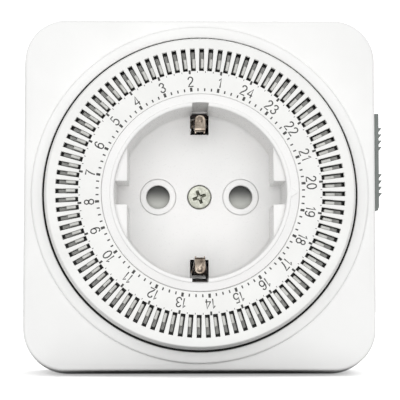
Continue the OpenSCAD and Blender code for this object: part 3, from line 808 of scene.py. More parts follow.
@dataclass
class RearShell:
    """White rear shell with the hollow plug body."""

    width: float = 81.0
    corner: float = 10.45
    wall: float = 2.0
    seam_lip: float = 0.12
    back_edge: float = 0.9
    edge_facets: int = 5
    plug: float = 18.2
    plug_bore: float = 14.2
    plug_floor: float = 2.4
    stem: tuple[float, float] = (1.5, 4)
    stem_front: float = -16.4
    partition: float = -4.4
    flat: float = 15.8
    rib: float = 2.4
    groove: tuple[float, float] = (16.7, 19.2)
    groove_half: float = 2.6
    strap_hole: tuple[float, float] = (16.7, 18.4)
    strap_half: float = 1.84
    post: tuple[float, float] = (1.55, 2.9)
    screw_head: float = 2.45
    pin_seat: float = 2.7
    boss: tuple[float, float] = (2.75, 4.2)
    boss_ends: tuple[float, float] = (9.4, 15.5)
    motor: float = -24.2
    ear: tuple[float, float] = (1.3, 2.5)
    ear_front: float = -25.0
    ear_at: float = 15.2
    ear_angles: tuple[float, float] = (120, 330)
    rests: tuple[float, float] = (-9.0, 4.4)
    rest_t: float = 1.6
    rest_sides: tuple[float, float] = (25.5, 33.1)
    rest_front: float = -14.1
    inner_tube: tuple[float, float] = (19.7, 21.7)
    bar_gap: Point = (-5.5, -2.05, 3.5)
    lead_gap: Point = (-7.5, -2.2, 4.0)
    lead_angle: float = 225.0
    slider_slot: tuple[float, float] = (0.6, 13.0)
    slider_slot_depth: float = 8.1

    def tub(self) -> Piece:
        """Open tub with rounded rear edges and the plug body on its rear wall.

        Returns:
            The tub.
        """
        y, lip, last = Levels, self.seam_lip, self.edge_facets
        inner = [rounded_square(self.width - 2 * self.wall, self.corner - self.wall, level)
                 for level in (-self.wall, y.seam)]
        outer = [rounded_square(self.width - 2 * lip, self.corner - lip, y.seam),
                 rounded_square(self.width, self.corner, y.seam + lip)]
        for k in range(last + 1):
            a = QUARTER_TURN * k / last
            out = self.back_edge * (1 - math.cos(a))
            outer.append(rounded_square(self.width - 2 * out, self.corner - out,
                                        -self.back_edge * (1 - math.sin(a))))
        tub = fitted(stacked(inner + outer), [round_bar(self.plug_bore, -4, 2, sides=96)])
        end, bore, (hole, stem), start = y.plug_end, self.plug_bore, self.stem, 0.05 - self.wall
        floor, back = end - self.plug_floor, self.partition
        plug = turned([(self.plug, start, 0), (self.plug, end, 0.8), (0, end, 0), (0, back, 0), (hole, back, 0),
                       (hole, self.stem_front, 0), (stem, self.stem_front, 0.2), (stem, floor, 0),
                       (bore, floor, 0.4), (bore, start, 0)], 128)
        return fitted(tub, [fitted(plug, self.plug_cutters())], "UNION")

    def plug_cutters(self) -> list[Piece]:
        """Bodies that cut the flats, the grooves and the pin seats of the plug body.

        Returns:
            The cutters, which start inside the rear wall.
        """
        start, end = -0.5, Levels.plug_end
        cutters = [block((sx * self.flat, start, sz * self.rib),
                         (sx * (self.plug + 1), end + 1, sz * self.plug)) for sx, sz in CORNERS]
        half, (near, far) = self.groove_half, self.groove
        for s in SIDES:
            cutters.append(softened(block((-half, start, s * near), (half, end - 1.5, s * far)), 0.3))
            cutters.append(round_bar(self.pin_seat, 9, end + 1, s * Axes.pin, 0, 48))
        return cutters

    def cutters(self) -> list[Piece]:
        """Bodies that cut the screw recesses, the holes of the earth straps and the slider's slot.

        Returns:
            The cutters.
        """
        cutters, reach = [], Axes.post
        for sx, sz in CORNERS:
            cutters.append(round_bar(self.screw_head, Levels.screw_seat, 1, sx * reach, sz * reach, SMALL))
            cutters.append(round_bar(self.post[0], -2.6, 1, sx * reach, sz * reach, 24))
        half, (near, far) = self.strap_half, self.strap_hole
        cutters += [block((-half, -3.8, s * near), (half, 1, s * far)) for s in SIDES]
        z0, z1 = self.slider_slot
        cutters.append(block((self.width / 2 - self.wall - 1, Levels.seam - 1, z0),
                             (self.width / 2 + 1, Levels.seam + self.slider_slot_depth, z1)))
        return cutters

    def inside(self) -> list[Piece]:
        """Posts, pin bosses, motor posts, switch rests and the inner tube.

        Returns:
            The pieces.
        """
        deep, low = -self.wall / 2, self.motor
        pieces = copied(tube(*self.post, Levels.seam, deep - 1), at_corners(Axes.post))
        pieces += copied(tube(*self.boss, *self.boss_ends), at_sides(Axes.pin))
        ears = [math.radians(a) for a in self.ear_angles]
        pieces += copied(tube(*self.ear, self.ear_front, deep), [
            at(low + self.ear_at * math.cos(a), 0, low + self.ear_at * math.sin(a)) for a in ears])
        left, right = self.rest_sides
        pieces += [block((left, self.rest_front, z), (right, deep, z + self.rest_t)) for z in self.rests]
        near, far = self.inner_tube[0] - 3, self.inner_tube[1] + 1
        gaps = [block((near, front, -half), (far, back, half))
                for front, back, half in (self.bar_gap, self.lead_gap)]
        gaps[1].data.transform(turn_to(self.lead_angle))
        inner = tube(*self.inner_tube, self.stem_front, deep, 96, (0.2, 0.2))
        pieces.append(fitted(inner, gaps))
        return pieces

    def build(self) -> None:
        """Makes the rear shell."""
        shell = fitted(self.tub(), self.cutters())
        hang(gathered([shell] + self.inside()), "rear_shell", "housing", Finishes.COVER,
             ["rear_housing"])


@dataclass
class SocketWell:
    """White socket well: collar, rounded rim, pointer, floor with two pin holes, guide ribs."""

    bore: float = 18.9
    rim: float = 19.85
    collar: float = 21.7
    flange: float = 3.55
    flange_t: float = 1.5
    spigot: float = 2.6
    hole: float = 2.7
    hole_ring: float = 4.03
    ring_rise: float = 0.15
    groove: tuple[float, float] = (4.02, 4.22)
    screw_hole: float = 1.6
    screw_seat: float = 2.85
    slot_w: float = 4.25
    slot: tuple[float, float] = (14.4, 19.45)
    slot_lip: float = 0.12
    slot_under: float = 0.5
    notch_w: float = 3.6
    notch_r: float = 19.76
    rib_face: float = 16.05
    rib_start: float = 2.55
    pointer: Point = (19.75, 21.45, 1.1)

    def bowl(self) -> Piece:
        """Collar, rim, wall and floor, turned in one.

        Returns:
            The bowl.
        """
        y, b, c = Levels, self.bore, self.collar
        flange, shelf, back = c + self.flange, y.gear_back + 0.3, y.seam + self.spigot
        under = shelf + self.flange_t
        return turned([(b, y.rim, 0.38), (self.rim, y.rim, 0.3), (self.rim, y.collar, 0.06),
                       (c, y.collar, 0.25), (c, shelf, 0), (flange, shelf, 0.15), (flange, under, 0.15),
                       (c, under, 0), (c, back, 0), (c - 2, back, 0), (c - 2, y.seam, 0), (4, y.seam, 0),
                       (4, back, 0.1), (0, back, 0), (0, y.floor, 0), (b, y.floor, 0.7)], WIDE)

    def cutters(self) -> list[Piece]:
        """Bodies that cut the pin holes, the screw seat, the earth slots and their notches.

        Returns:
            The cutters.
        """
        y = Levels
        cutters = [round_bar(self.hole, y.floor - 1, y.seam + 1, s * Axes.pin, 0, MIDDLE) for s in SIDES]
        cutters += [round_bar(self.screw_hole, y.floor - 1, y.seam + 4, sides=SMALL),
                    round_bar(self.screw_seat, y.floor - 1, y.centre_seat, sides=MIDDLE)]
        cutters += copied(tube(*self.groove, y.floor - 0.4, y.floor + 0.5, MIDDLE, (0, 0)), at_sides(Axes.pin))
        wide, (low, high) = self.slot_w / 2, self.slot
        more, far = wide + self.slot_under, self.bore + 3
        for s in SIDES:
            slot = block((-wide, y.floor - 0.6, s * low), (wide, y.seam + 1, s * high))
            under = block((-more, y.floor + self.slot_lip, s * (low - self.slot_under)),
                          (more, y.seam + 1, s * (high + self.slot_under)))
            notch = block((-self.notch_w / 2, y.rim - 1, s * low), (self.notch_w / 2, y.floor, s * far))
            round_end = round_bar(self.notch_r, y.rim - 2, y.floor + 1, sides=WIDE)
            cutters += [slot, under, fitted(notch, [round_end], "INTERSECT")]
        return cutters

    def ribs(self) -> list[Piece]:
        """Four guide ribs at the sides of the well.

        Returns:
            The ribs.
        """
        y = Levels
        rib = block((self.rib_face, y.rim + 1.5, self.rib_start), (21, y.floor + 0.4, 11))
        rib = fitted(rib, [round_bar(self.bore + 0.4, y.rim, y.floor + 1, sides=WIDE)], "INTERSECT")
        return copied(softened(rib, 0.3, 3), [Matrix.Diagonal((sx, 1, sz, 1)) for sx, sz in CORNERS])

    def build(self) -> None:
        """Makes the well."""
        y, hole, out = Levels, self.hole, self.hole_ring
        wall, top, root = hole + 0.4, y.floor - self.ring_rise, y.floor + 0.6
        ring = turned([(hole, y.seam, 0), (hole, top, 0.2), (out, top, 0.1), (out, root, 0), (wall, root, 0),
                       (wall, y.seam, 0)], MIDDLE)
        near, tip, half = self.pointer
        pointer = pushed_out([(near, y.rim, -half), (tip, y.rim, 0), (near, y.rim, half)], (0, 0.8, 0))
        pieces = [fitted(self.bowl(), self.cutters()), softened(pointer, 0.06, 1)]
        pieces += copied(ring, at_sides(Axes.pin)) + self.ribs()
        hang(gathered(pieces), "socket_well", "housing", Finishes.WELL, ["socket_insert"])


@dataclass(frozen=True)
class CrossScrew:
    """Screw with a cross-recessed head, pointing to +Y from its seat at the origin."""

    shank: float
    head: float
    head_t: float
    length: float
    recess: Sequence[Point] = ((-0.4, 0.72, 0.5), (1.2, 0.2, 0.2))
    mark: tuple[float, float] = (0.25, 0.68)
    mark_half: float = 0.1

    def pattern(self) -> Piece:
        """One screw with a domed head, a cross recess and four marks between its arms.

        Returns:
            The screw.
        """
        h = self.head
        t, shank, end, (near, far), thin = self.head_t, self.shank, self.length, self.mark, self.mark_half
        screw = turned([(0, -t, 0), (h * 0.93, -t, 0.12), (h, -t * 0.85, 0.08), (h, 0, 0.1), (shank, 0, 0),
                        (shank, end, 0.5), (0, end, 0)], MIDDLE, 6)
        cuts = []
        for k in range(4):
            arm = stacked([[(0, y, -w), (h * reach, y, -w * 0.8), (h * reach, y, w * 0.8), (0, y, w)]
                           for y, reach, w in self.recess])
            arm.data.transform(at(0, -t, 0) @ turn_to(90 * k))
            mark = block((h * near, -1.0, -thin), (h * far, 0.2, thin))
            mark.data.transform(at(0, -t, 0) @ turn_to(90 * k + 45))
            cuts += [arm, mark]
        return fitted(screw, cuts)


@dataclass
class Screws:
    """The centre screw and the four screws that close the housing."""

    centre: CrossScrew = CrossScrew(shank=1.45, head=2.7, head_t=1.5, length=16)
    corner: CrossScrew = CrossScrew(shank=1.25, head=2.3, head_t=1.5, length=25.2)
    centre_turn: float = 20.0

    def build(self) -> None:
        """Makes the screws."""
        centre = self.centre.pattern()
        centre.data.transform(at(0, Levels.centre_seat, 0) @ turn_to(self.centre_turn))
        hang(centre, "centre_screw_zinc", "housing", Finishes.ZINC, ["centre_screw"])
        flip = Matrix.Rotation(math.pi, 4, "X")
        corners = copied(self.corner.pattern(), [at(sx * Axes.post, Levels.screw_seat, sz * Axes.post) @ flip
                                                 @ turn_to(11 + 23 * sx + 40 * sz) for sx, sz in CORNERS])
        hang(gathered(corners), "housing_screws_zinc", "housing", Finishes.ZINC, ["housing_screws"])


@dataclass
class EarthClips:
    """Two sprung earth clips: a strip that tapers to a knee, and a lip with a round end and a dent."""

    root_half: float = 1.7
    knee_half: float = 1.1
    lip_half: float = 1.2
    sheet: float = 0.42
    rim: tuple[float, float] = (0.24, 0.32)
    root_y: float = -10.4
    root_z: float = 17.85
    bend_y: float = -23.5
    knee_y: float = -33.2
    knee_z: float = 14.1
    knee_bends: Sequence[tuple[float, float]] = ((0.5, 0.1), (-0.35, 0.0), (-0.75, 0.35))
    lip_y: float = -34.7
    lip_z: float = 17.7
    dent: Point = (0.8, 0.62, 1.05)
    dent_off: tuple[float, float] = (0.22, 0.05)

    def pattern(self) -> Piece:
        """The upper clip.

        Returns:
            The clip.
        """
        t, root, knee, (thick, drop) = self.sheet, self.root_half, self.knee_half, self.rim
        line = [(self.root_y, self.root_z - t, root), (self.bend_y, self.root_z - t, root)]
        line += [(self.knee_y + y, self.knee_z + z, knee) for y, z in self.knee_bends]
        strip = stacked([[(-w, y, z), (w, y, z), (w, y + 0.12 * t, z + t), (-w, y + 0.12 * t, z + t)]
                         for y, z, w in line])
        rims = [stacked([[(s * w, y, z - drop), (s * (w - thick), y, z - drop), (s * (w - thick), y, z + 0.1),
                          (s * w, y, z + 0.1)] for y, z, w in line[1:4]]) for s in SIDES]
        back, reach = self.knee_y - 0.45, self.lip_z - self.lip_half
        steps = [math.radians(180 * k / 16) for k in range(17)]
        half = self.lip_half
        outline = [(half, back, self.knee_z)]
        outline += [(half * math.cos(a), self.lip_y, reach + half * math.sin(a)) for a in steps]
        lip = pushed_out(outline + [(-half, back, self.knee_z)], (0, t, 0))
        lay_aside()
        bpy.ops.mesh.primitive_uv_sphere_add(segments=24, ring_count=12, radius=1)
        ball = bpy.context.object
        ahead, below = self.dent_off
        ball.data.transform(at(0, self.lip_y - ahead, reach - below) @ Matrix.Diagonal((*self.dent, 1)))
        return gathered([strip] + rims + [softened(fitted(lip, [ball]), 0.1, 2)])

    def build(self) -> None:
        """Makes both clips."""
        clips = copied(self.pattern(), [Matrix.Identity(4), Matrix.Diagonal((1, 1, -1, 1))])
        for clip, end in zip(clips, ("top", "bottom")):
            hang(clip, f"earth_clip_{end}_bent", "housing", Finishes.CLIP, [f"earth_clip_{end}"])


@dataclass
class PlugPins:
    """Two round plug pins with domed tips and a flange inside the plug body."""

    radius: float = 2.4
    sleeve: float = 0.3
    flange_r: float = 3.6
    flange: tuple[float, float] = (8.6, 9.4)
    tip: float = 36.0
    dome: float = 1.5

    def build(self) -> None:
        """Makes both pins."""
        r = self.radius
        sleeve, (start, end), plug = r + self.sleeve, self.flange, Levels.plug_end
        pin = turned([(0, start, 0), (self.flange_r, start, 0.2), (self.flange_r, end, 0.1),
                      (sleeve, end, 0), (sleeve, plug, 0.08), (r, plug, 0), (r, self.tip, self.dome),
                      (0, self.tip, 0)], MIDDLE, 8)
        pins = copied(pin, [at(s * Axes.pin, 0, 0) for s in (1, -1)])
        for pin, wire in zip(pins, ("live", "neutral")):
            hang(pin, f"pin_{wire}_nickel", "housing", Finishes.NICKEL, [f"plug_pin_{wire}"])


# Lines of the dial's figures, on a grid one unit high
FIGURES: dict[str, Profile] = {
    "0": [(0.28 + 0.26 * math.sin(a), 0.5 + 0.5 * math.cos(a))
          for a in (math.tau * k / 16 for k in range(17))],
    "1": [(0.04, 0.76), (0.24, 1.0), (0.24, 0.0)],
    "2": [(0.03, 0.74), (0.08, 0.91), (0.2, 0.99), (0.34, 0.99), (0.47, 0.9), (0.52, 0.75), (0.47, 0.58),
          (0.33, 0.4), (0.12, 0.18), (0.03, 0.0), (0.54, 0.0)],
    "3": [(0.03, 0.77), (0.1, 0.93), (0.26, 1.0), (0.42, 0.94), (0.5, 0.78), (0.43, 0.61), (0.24, 0.54),
          (0.44, 0.47), (0.54, 0.29), (0.46, 0.09), (0.27, 0.0), (0.1, 0.06), (0.02, 0.24)],
    "4": [(0.42, 0.0), (0.42, 1.0), (0.02, 0.31), (0.02, 0.28), (0.56, 0.28)],
    "5": [(0.48, 0.99), (0.13, 0.99), (0.07, 0.5), (0.2, 0.6), (0.34, 0.62), (0.48, 0.53), (0.54, 0.34),
          (0.49, 0.12), (0.35, 0.01), (0.18, 0.0), (0.06, 0.08), (0.02, 0.22)],
    "6": [(0.5, 0.82), (0.42, 0.96), (0.28, 1.0), (0.13, 0.9), (0.04, 0.66), (0.02, 0.38), (0.08, 0.1),
          (0.26, 0.0), (0.45, 0.07), (0.54, 0.3), (0.47, 0.54), (0.3, 0.62), (0.13, 0.55), (0.04, 0.4)],
    "7": [(0.02, 0.98), (0.54, 0.98), (0.36, 0.68), (0.24, 0.35), (0.2, 0.0)],
    "8": [(0.28, 0.54), (0.12, 0.6), (0.06, 0.76), (0.13, 0.93), (0.28, 1.0), (0.43, 0.93), (0.5, 0.76),
          (0.44, 0.6), (0.28, 0.54), (0.1, 0.46), (0.02, 0.26), (0.1, 0.07), (0.28, 0.0), (0.46, 0.07),
          (0.54, 0.26), (0.46, 0.46), (0.28, 0.54)],
}
FIGURES["9"] = [(0.56 - x, 1 - y) for x, y in FIGURES["6"]]


@dataclass
class Dial:
    """White dial with its 96 slots, its gear ring, its scale and its numbers."""

    bore: float = 21.76
    hub: float = 1.75
    slot_in: float = 26.8
    slot_out: float = 31.8
    slot_w: float = 1.05
    slot_edge: float = 0.09
    face_r: float = 33.65
    rim_r: float = 34.6
    skirt_r: float = 33.25
    plate: float = 1.5
    slots: int = 96
    teeth: int = 120
    gear_in: float = 33.5
    tooth_flank: Sequence[tuple[float, float]] = ((35.58, -1.05), (36.2, -0.655), (36.62, -0.41))
    hour_step: float = 15.0
    time_shown: float = 19.66
    ink: float = 0.012
    quarter_marks: Sequence[Point] = ((22.3, 22.95, 0.3), (26.35, 26.72, 0.14))
    hour_marks: Sequence[Point] = ((22.25, 23.15, 0.55), (26.15, 27.0, 0.46))
    digit_h: float = 2.08
    digit_r: float = 24.45
    digit_gap: float = 0.24
    pen: float = 0.07

    def angle(self, hour: float) -> float:
        """Angle of an hour's mark in degrees, counter-clockwise from the pointer."""
        return (hour - self.time_shown) * self.hour_step

    def plate_sector(self) -> Piece:
        """The dial round one slot: its face, rim, skirt and hub.

        Returns:
            The sector, open at its two sides.
        """
        y, step = Levels, 180 / self.slots
        top, under, back, hub = y.dial, y.dial + self.plate, y.gear_back, self.bore + self.hub
        section = rounded([(self.bore, top, 0.12), (self.slot_in, top, 0), (self.slot_out, top, 0),
                           (self.face_r + 0.1, top, 0.3), (self.face_r + 0.45, top + 0.9, 0.4),
                           (self.rim_r, top + 4.5, 0.6), (self.rim_r, back, 0), (self.skirt_r, back, 0),
                           (self.skirt_r, under, 0), (self.slot_out, under, 0), (self.slot_in, under, 0),
                           (hub, under, 0), (hub, back, 0), (self.bore, back, 0)])
        outlines = []
        for side, edge in ((-1, False), (-1, True), (1, True), (1, False)):
            outline = []
            for r, level in section:
                lean = math.degrees(math.asin(self.slot_w / 2 / min(max(r, self.slot_in), self.slot_out)))
                a = math.radians(side * (lean if edge else step))
                outline.append((r * math.cos(a), level, r * math.sin(a)))
            outlines.append(outline)
        piece = stacked(outlines, filled=False)

        def over_slot(face: bmesh.types.BMFace) -> bool:
            """Whether a face closes the slot, at the front or at the back."""
            centre = face.calc_center_median()
            return self.slot_in < centre.x < self.slot_out and abs(centre.z) < 0.1 and abs(face.normal.y) > 0.9

        def round_slot(edge: bmesh.types.BMEdge) -> bool:
            """Whether an edge runs round the slot on the dial's face."""
            return all(abs(v.co.y - y.dial) < SAME and abs(v.co.z) < self.slot_w / 2 + NEAR
                       and self.slot_in - NEAR < math.hypot(v.co.x, v.co.z) < self.slot_out + NEAR
                       for v in edge.verts)

        take_up(piece, edit=True)
        pick(piece, "FACE", over_slot)
        bpy.ops.mesh.bridge_edge_loops()
        pick(piece, "EDGE", round_slot)
        bpy.ops.mesh.bevel(offset=self.slot_edge, segments=2, affect="EDGES")
        lay_aside()
        return piece

    def tooth_sector(self) -> Piece:
        """One tooth of the gear ring.

        Returns:
            The tooth, open at its two sides.
        """
        y, step = Levels, 180 / self.teeth
        flank = [(self.gear_in, -step), (self.tooth_flank[0][0], -step), *self.tooth_flank]
        flanks = flank + [(r, -a) for r, a in flank[::-1]]
        points = [(r * math.cos(a), y.gear_front, r * math.sin(a))
                  for r, a in ((r, math.radians(degrees)) for r, degrees in flanks)]
        piece = pushed_out(points, (0, y.gear_back - y.gear_front, 0))

        def at_seam(face: bmesh.types.BMFace) -> bool:
            """Whether a face meets the next tooth."""
            x, _, z = face.calc_center_median()
            return abs(face.normal.y) < 0.1 and abs(abs(math.degrees(math.atan2(z, x))) - step) < NEAR

        take_up(piece, edit=True)
        pick(piece, "FACE", at_seam)
        bpy.ops.mesh.delete(type="FACE")
        lay_aside()
        return piece

    def all_round(self, sector: Piece, count: int, start: float) -> Piece:
        """Repeats a sector round the main axis and merges the seams.

        Args:
            sector: The sector.
            count: How many there are in a turn.
            start: Angle of the first one in degrees.

        Returns:
            The whole ring.
        """
        sector.data.transform(turn_to(start))
        return close_up(gathered(copied(sector, [turn_to(360 / count * k) for k in range(count)])))

    def figure(self, strokes: Profile) -> Piece:
        """Draws one figure with a round pen and makes it a mesh.

        Args:
            strokes: Corners of its line, on a grid one unit high.

        Returns:
            The figure, one unit high.
        """
        lay_aside()
        bpy.ops.curve.primitive_bezier_curve_add(location=(0, 0, 0))
        drawn = bpy.context.object
        drawn.data.splines.clear()
        line = drawn.data.splines.new("POLY")
        line.points.add(len(strokes) - 1)
        for point, (x, y) in zip(line.points, strokes):
            point.co = (x, y, 0, 1)
        drawn.data.bevel_depth, drawn.data.bevel_resolution = self.pen, 1
        drawn.data.use_fill_caps = True
        bpy.ops.object.convert(target="MESH")
        return bpy.context.object

    def numbers(self) -> Piece:
        """The numbers 1 to 24, their tops outwards.

        Returns:
            All numbers as one printed layer.
        """
        made, flat = [], self.ink / 2 / self.pen / self.digit_h
        for hour in range(1, 25):
            signs, reach = [], 0.0
            for sign in str(hour):
                piece = self.figure(FIGURES[sign])
                piece.data.transform(at(reach, 0, 0))
                signs.append(piece)
                reach += max(x for x, _ in FIGURES[sign]) + self.digit_gap
            number = gathered(signs)
            a, r = math.radians(self.angle(hour)), self.digit_r
            upright = Matrix(((math.sin(a), math.cos(a), 0, r * math.cos(a)), (0, 0, -1, Levels.dial),
                              (-math.cos(a), math.sin(a), 0, r * math.sin(a)), (0, 0, 0, 1)))
            size = Matrix.Diagonal((self.digit_h, self.digit_h, self.digit_h * flat, 1))
            number.data.transform(upright @ size @ at((self.digit_gap - reach) / 2, -0.5, 0))
            made.append(close_up(number))
        return gathered(made)

    def marks(self, r0: float, r1: float, width: float, angles: Iterable[float]) -> Piece:
        """Printed strokes that point to the axis.

        Args:
            r0: Radius of their inner ends.
            r1: Radius of their outer ends.
            width: Their width.
            angles: Their angles in degrees.

        Returns:
            The strokes as one printed layer.
        """
        stroke = block((r0, Levels.dial - self.ink / 2, -width / 2),
                       (r1, Levels.dial + self.ink / 2, width / 2))
        return gathered(copied(stroke, [turn_to(a) for a in angles]))

    def build(self) -> None:
        """Makes the dial with its gear ring and its printing."""
        quarter = self.hour_step / 4
        first, slot = self.angle(0), "segment_grey"
        plate = self.all_round(self.plate_sector(), self.slots, first + quarter / 2)
        gear = self.all_round(self.tooth_sector(), self.teeth, 225 + 180 / self.teeth)
        # The dial's finish paints shade on its rim and gear, dark down in the gap round it
        hang(gathered([plate, gear]), "dial_white", "dial", Finishes.DIAL, ["dial_ring"], 30)
        hours = [self.angle(h) for h in range(24)]
        quarters = [first + quarter * i for i in range(self.slots) if i % 4]
        thin = [self.marks(*size, quarters) for size in self.quarter_marks]
        hang(gathered(thin + [self.numbers()]), "dial_numbers_and_quarters", "dial", Finishes.INK)
        bold = [self.marks(*size, hours) for size in self.hour_marks]
        hang(gathered(bold), "dial_hour_marks", "dial", Finishes.INK_BOLD)


@dataclass
class Segments:
    """96 grey push-in segments, four to an hour, each with a finger head on its inner half."""

    dial: Dial
    inner: float = 26.92
    outer: float = 31.68
    top_in: float = 27.45
    top_out: float = 31.2
    head_out: float = 29.5
    side_left: float = 0.34
    side_right: float = 0.44
    head_y: tuple[float, float] = (0.3, 2.0)
    top_y: tuple[float, float] = (1.75, 3.2)
    blade_y: float = 3.0
    foot_y: float = -32.7
    foot_t: float = 1.5
    foot_over: float = 0.5

    def pattern(self) -> Piece:
        """One segment, lying along X.

        Returns:
            The segment.
        """
        y, left, right, foot_y = Levels.dial, self.side_left, -self.side_right, self.foot_y
        (head_0, head_1), (top_0, top_1), over = self.head_y, self.top_y, self.foot_over
        head = block((self.top_in, y + head_0, right - 0.03), (self.head_out, y + head_1, left - 0.2))
        top = block((self.top_in + 0.1, y + top_0, right), (self.top_out, y + top_1, left))
        blade = block((self.inner, y + self.blade_y, right), (self.outer, foot_y, left))
        foot = block((self.inner - over, foot_y, right), (self.outer + over, foot_y + self.foot_t, left))
        return gathered([blade, softened(head, 0.1, 1), softened(top, 0.08, 1), foot])

    def build(self) -> None:
        """Makes the 24 groups of four."""
        quarter = self.dial.hour_step / 4
        group = gathered(copied(self.pattern(), [turn_to((q + 0.5) * quarter) for q in range(4)]))
        hours = copied(group, [turn_to(self.dial.angle(hour)) for hour in range(1, 25)])
        for hour, piece in enumerate(hours, 1):
            # Their finish paints shade that darkens them down in the slots
            hang(piece, f"segments_{hour:02d}", f"hour_{hour:02d}", Finishes.SEGMENT,
                 [f"segments_hour_{hour:02d}"])


@dataclass
class OverrideSlider:
    """Grey slider on the right flank: bar with two groups of four teeth, stem, plate and arm."""

    low: float = -2.9
    high: float = 19.7
    front: float = -21.4
    width: float = 9.0
    seat: float = 40.55
    height: float = 1.25
    tooth: Sequence[tuple[float, float]] = ((-0.2, 0.66), (0.72, 0.72), (0.66, 0.5), (-0.2, -0.62))
    tooth_inset: float = 0.6
    teeth_middle: float = 8.16
    group: float = 5.39
    pitch: float = 1.465
    chamfer: tuple[float, float] = (0.35, 0.9)
    stem: tuple[float, float] = (4.8, 12.8)
    stem_front: float = -21.7
    wall_in: float = 38.2
    plate_in: float = 36.9
    plate_over: float = 1.5
    inner_front: float = -21.2
    arm: tuple[float, float] = (1.9, 5.9)
    arm_sides: tuple[float, float] = (35.7, 37.8)
    arm_tip: float = -28.82
    post_out: float = 37.1
    wedge_in: float = 33.7
    wedge_length: float = 2.1
    wedge_rise: tuple[float, float] = (0.6, 1.43)

    def build(self) -> None:
        """Makes the slider."""
        y0, y1, x, top = self.front, self.front + self.width, self.seat, self.seat + self.height
        low, high, (z0, z1), (short, long) = self.low, self.high, self.stem, self.chamfer
        bar = pushed_out([(x, y0, low), (top - short, y0, low), (top, y0, low + long), (top, y0, high),
                          (x, y0, high)], (0, self.width, 0))
        inset = self.tooth_inset
        tooth = pushed_out([(top + out, y0 + inset, z) for out, z in self.tooth],
                           (0, self.width - 2 * inset, 0))
        places = [self.teeth_middle + g * self.group + (i - 1.5) * self.pitch for g in SIDES for i in range(4)]
        teeth = copied(softened(tooth, 0.04, 1), [at(0, 0, z) for z in places])
        stem = block((self.wall_in, self.stem_front, z0), (x + 0.2, y1 - 1.7, z1))
        over, front = self.plate_over, self.inner_front
        plate = block((self.plate_in, front, z0 - over), (self.wall_in, y1 - 1, z1 + over))
        (a0, a1), (near, far), tip_y = self.arm, self.arm_sides, self.arm_tip
        arm = block((near, front, a0), (far, y1 - 4, a1))
        post = block((near, tip_y, a0), (self.post_out, y1 - 4, a1))
        wedge = pushed_out([(self.wedge_in, tip_y + rise, z)
                            for rise, z in zip((0, *self.wedge_rise, 0), (a0, a0, a1, a1))],
                           (self.wedge_length, 0, 0))
        inside = [stem, softened(plate, 0.2, 2), softened(arm, 0.15, 1), softened(post, 0.15, 1), wedge]
        hang(gathered([softened(bar, 0.12, 2)] + teeth + inside), "override_slider_ribbed", "slider",
             Finishes.SLIDER, ["override_slider"])


CAD_FINISHES: dict[Finishes, str] = {
    Finishes.THERMOSET: "contact_carrier switch_case",
    # The shutter's finish paints a shadow that darkens it towards the top
    Finishes.SHUTTER: "shutter",
    Finishes.STEEL: "shutter_spring feeler_spring feeler_axle gear_axle motor_can motor_plate",
    Finishes.COPPER: "live_feed socket_contact_live socket_contact_neutral",
    Finishes.CLIP: "earth_strap_top earth_strap_bottom",
    Finishes.ACETAL: "switch_button feeler_lever motor_pinion reduction_gear",
    Finishes.WINDING: "motor_coil",
    Finishes.ZINC: "motor_screws",
    Finishes.LEAD: "motor_leads",
    # The dial's finish paints the segment guide dark with shade where it lies deeper than the front of the ring
    Finishes.DIAL: "segment_guide",
}


def dress_cad_nodes() -> None:
    """Gives the CAD nodes that stay their finishes."""
    for finish, names in CAD_FINISHES.items():
        for name in names.split():
            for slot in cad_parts[name].material_slots:
                slot.material = finish.material()
            log.info("%s: %s", name, finish.value.name)


# ---------------------------------------------------------------- studio


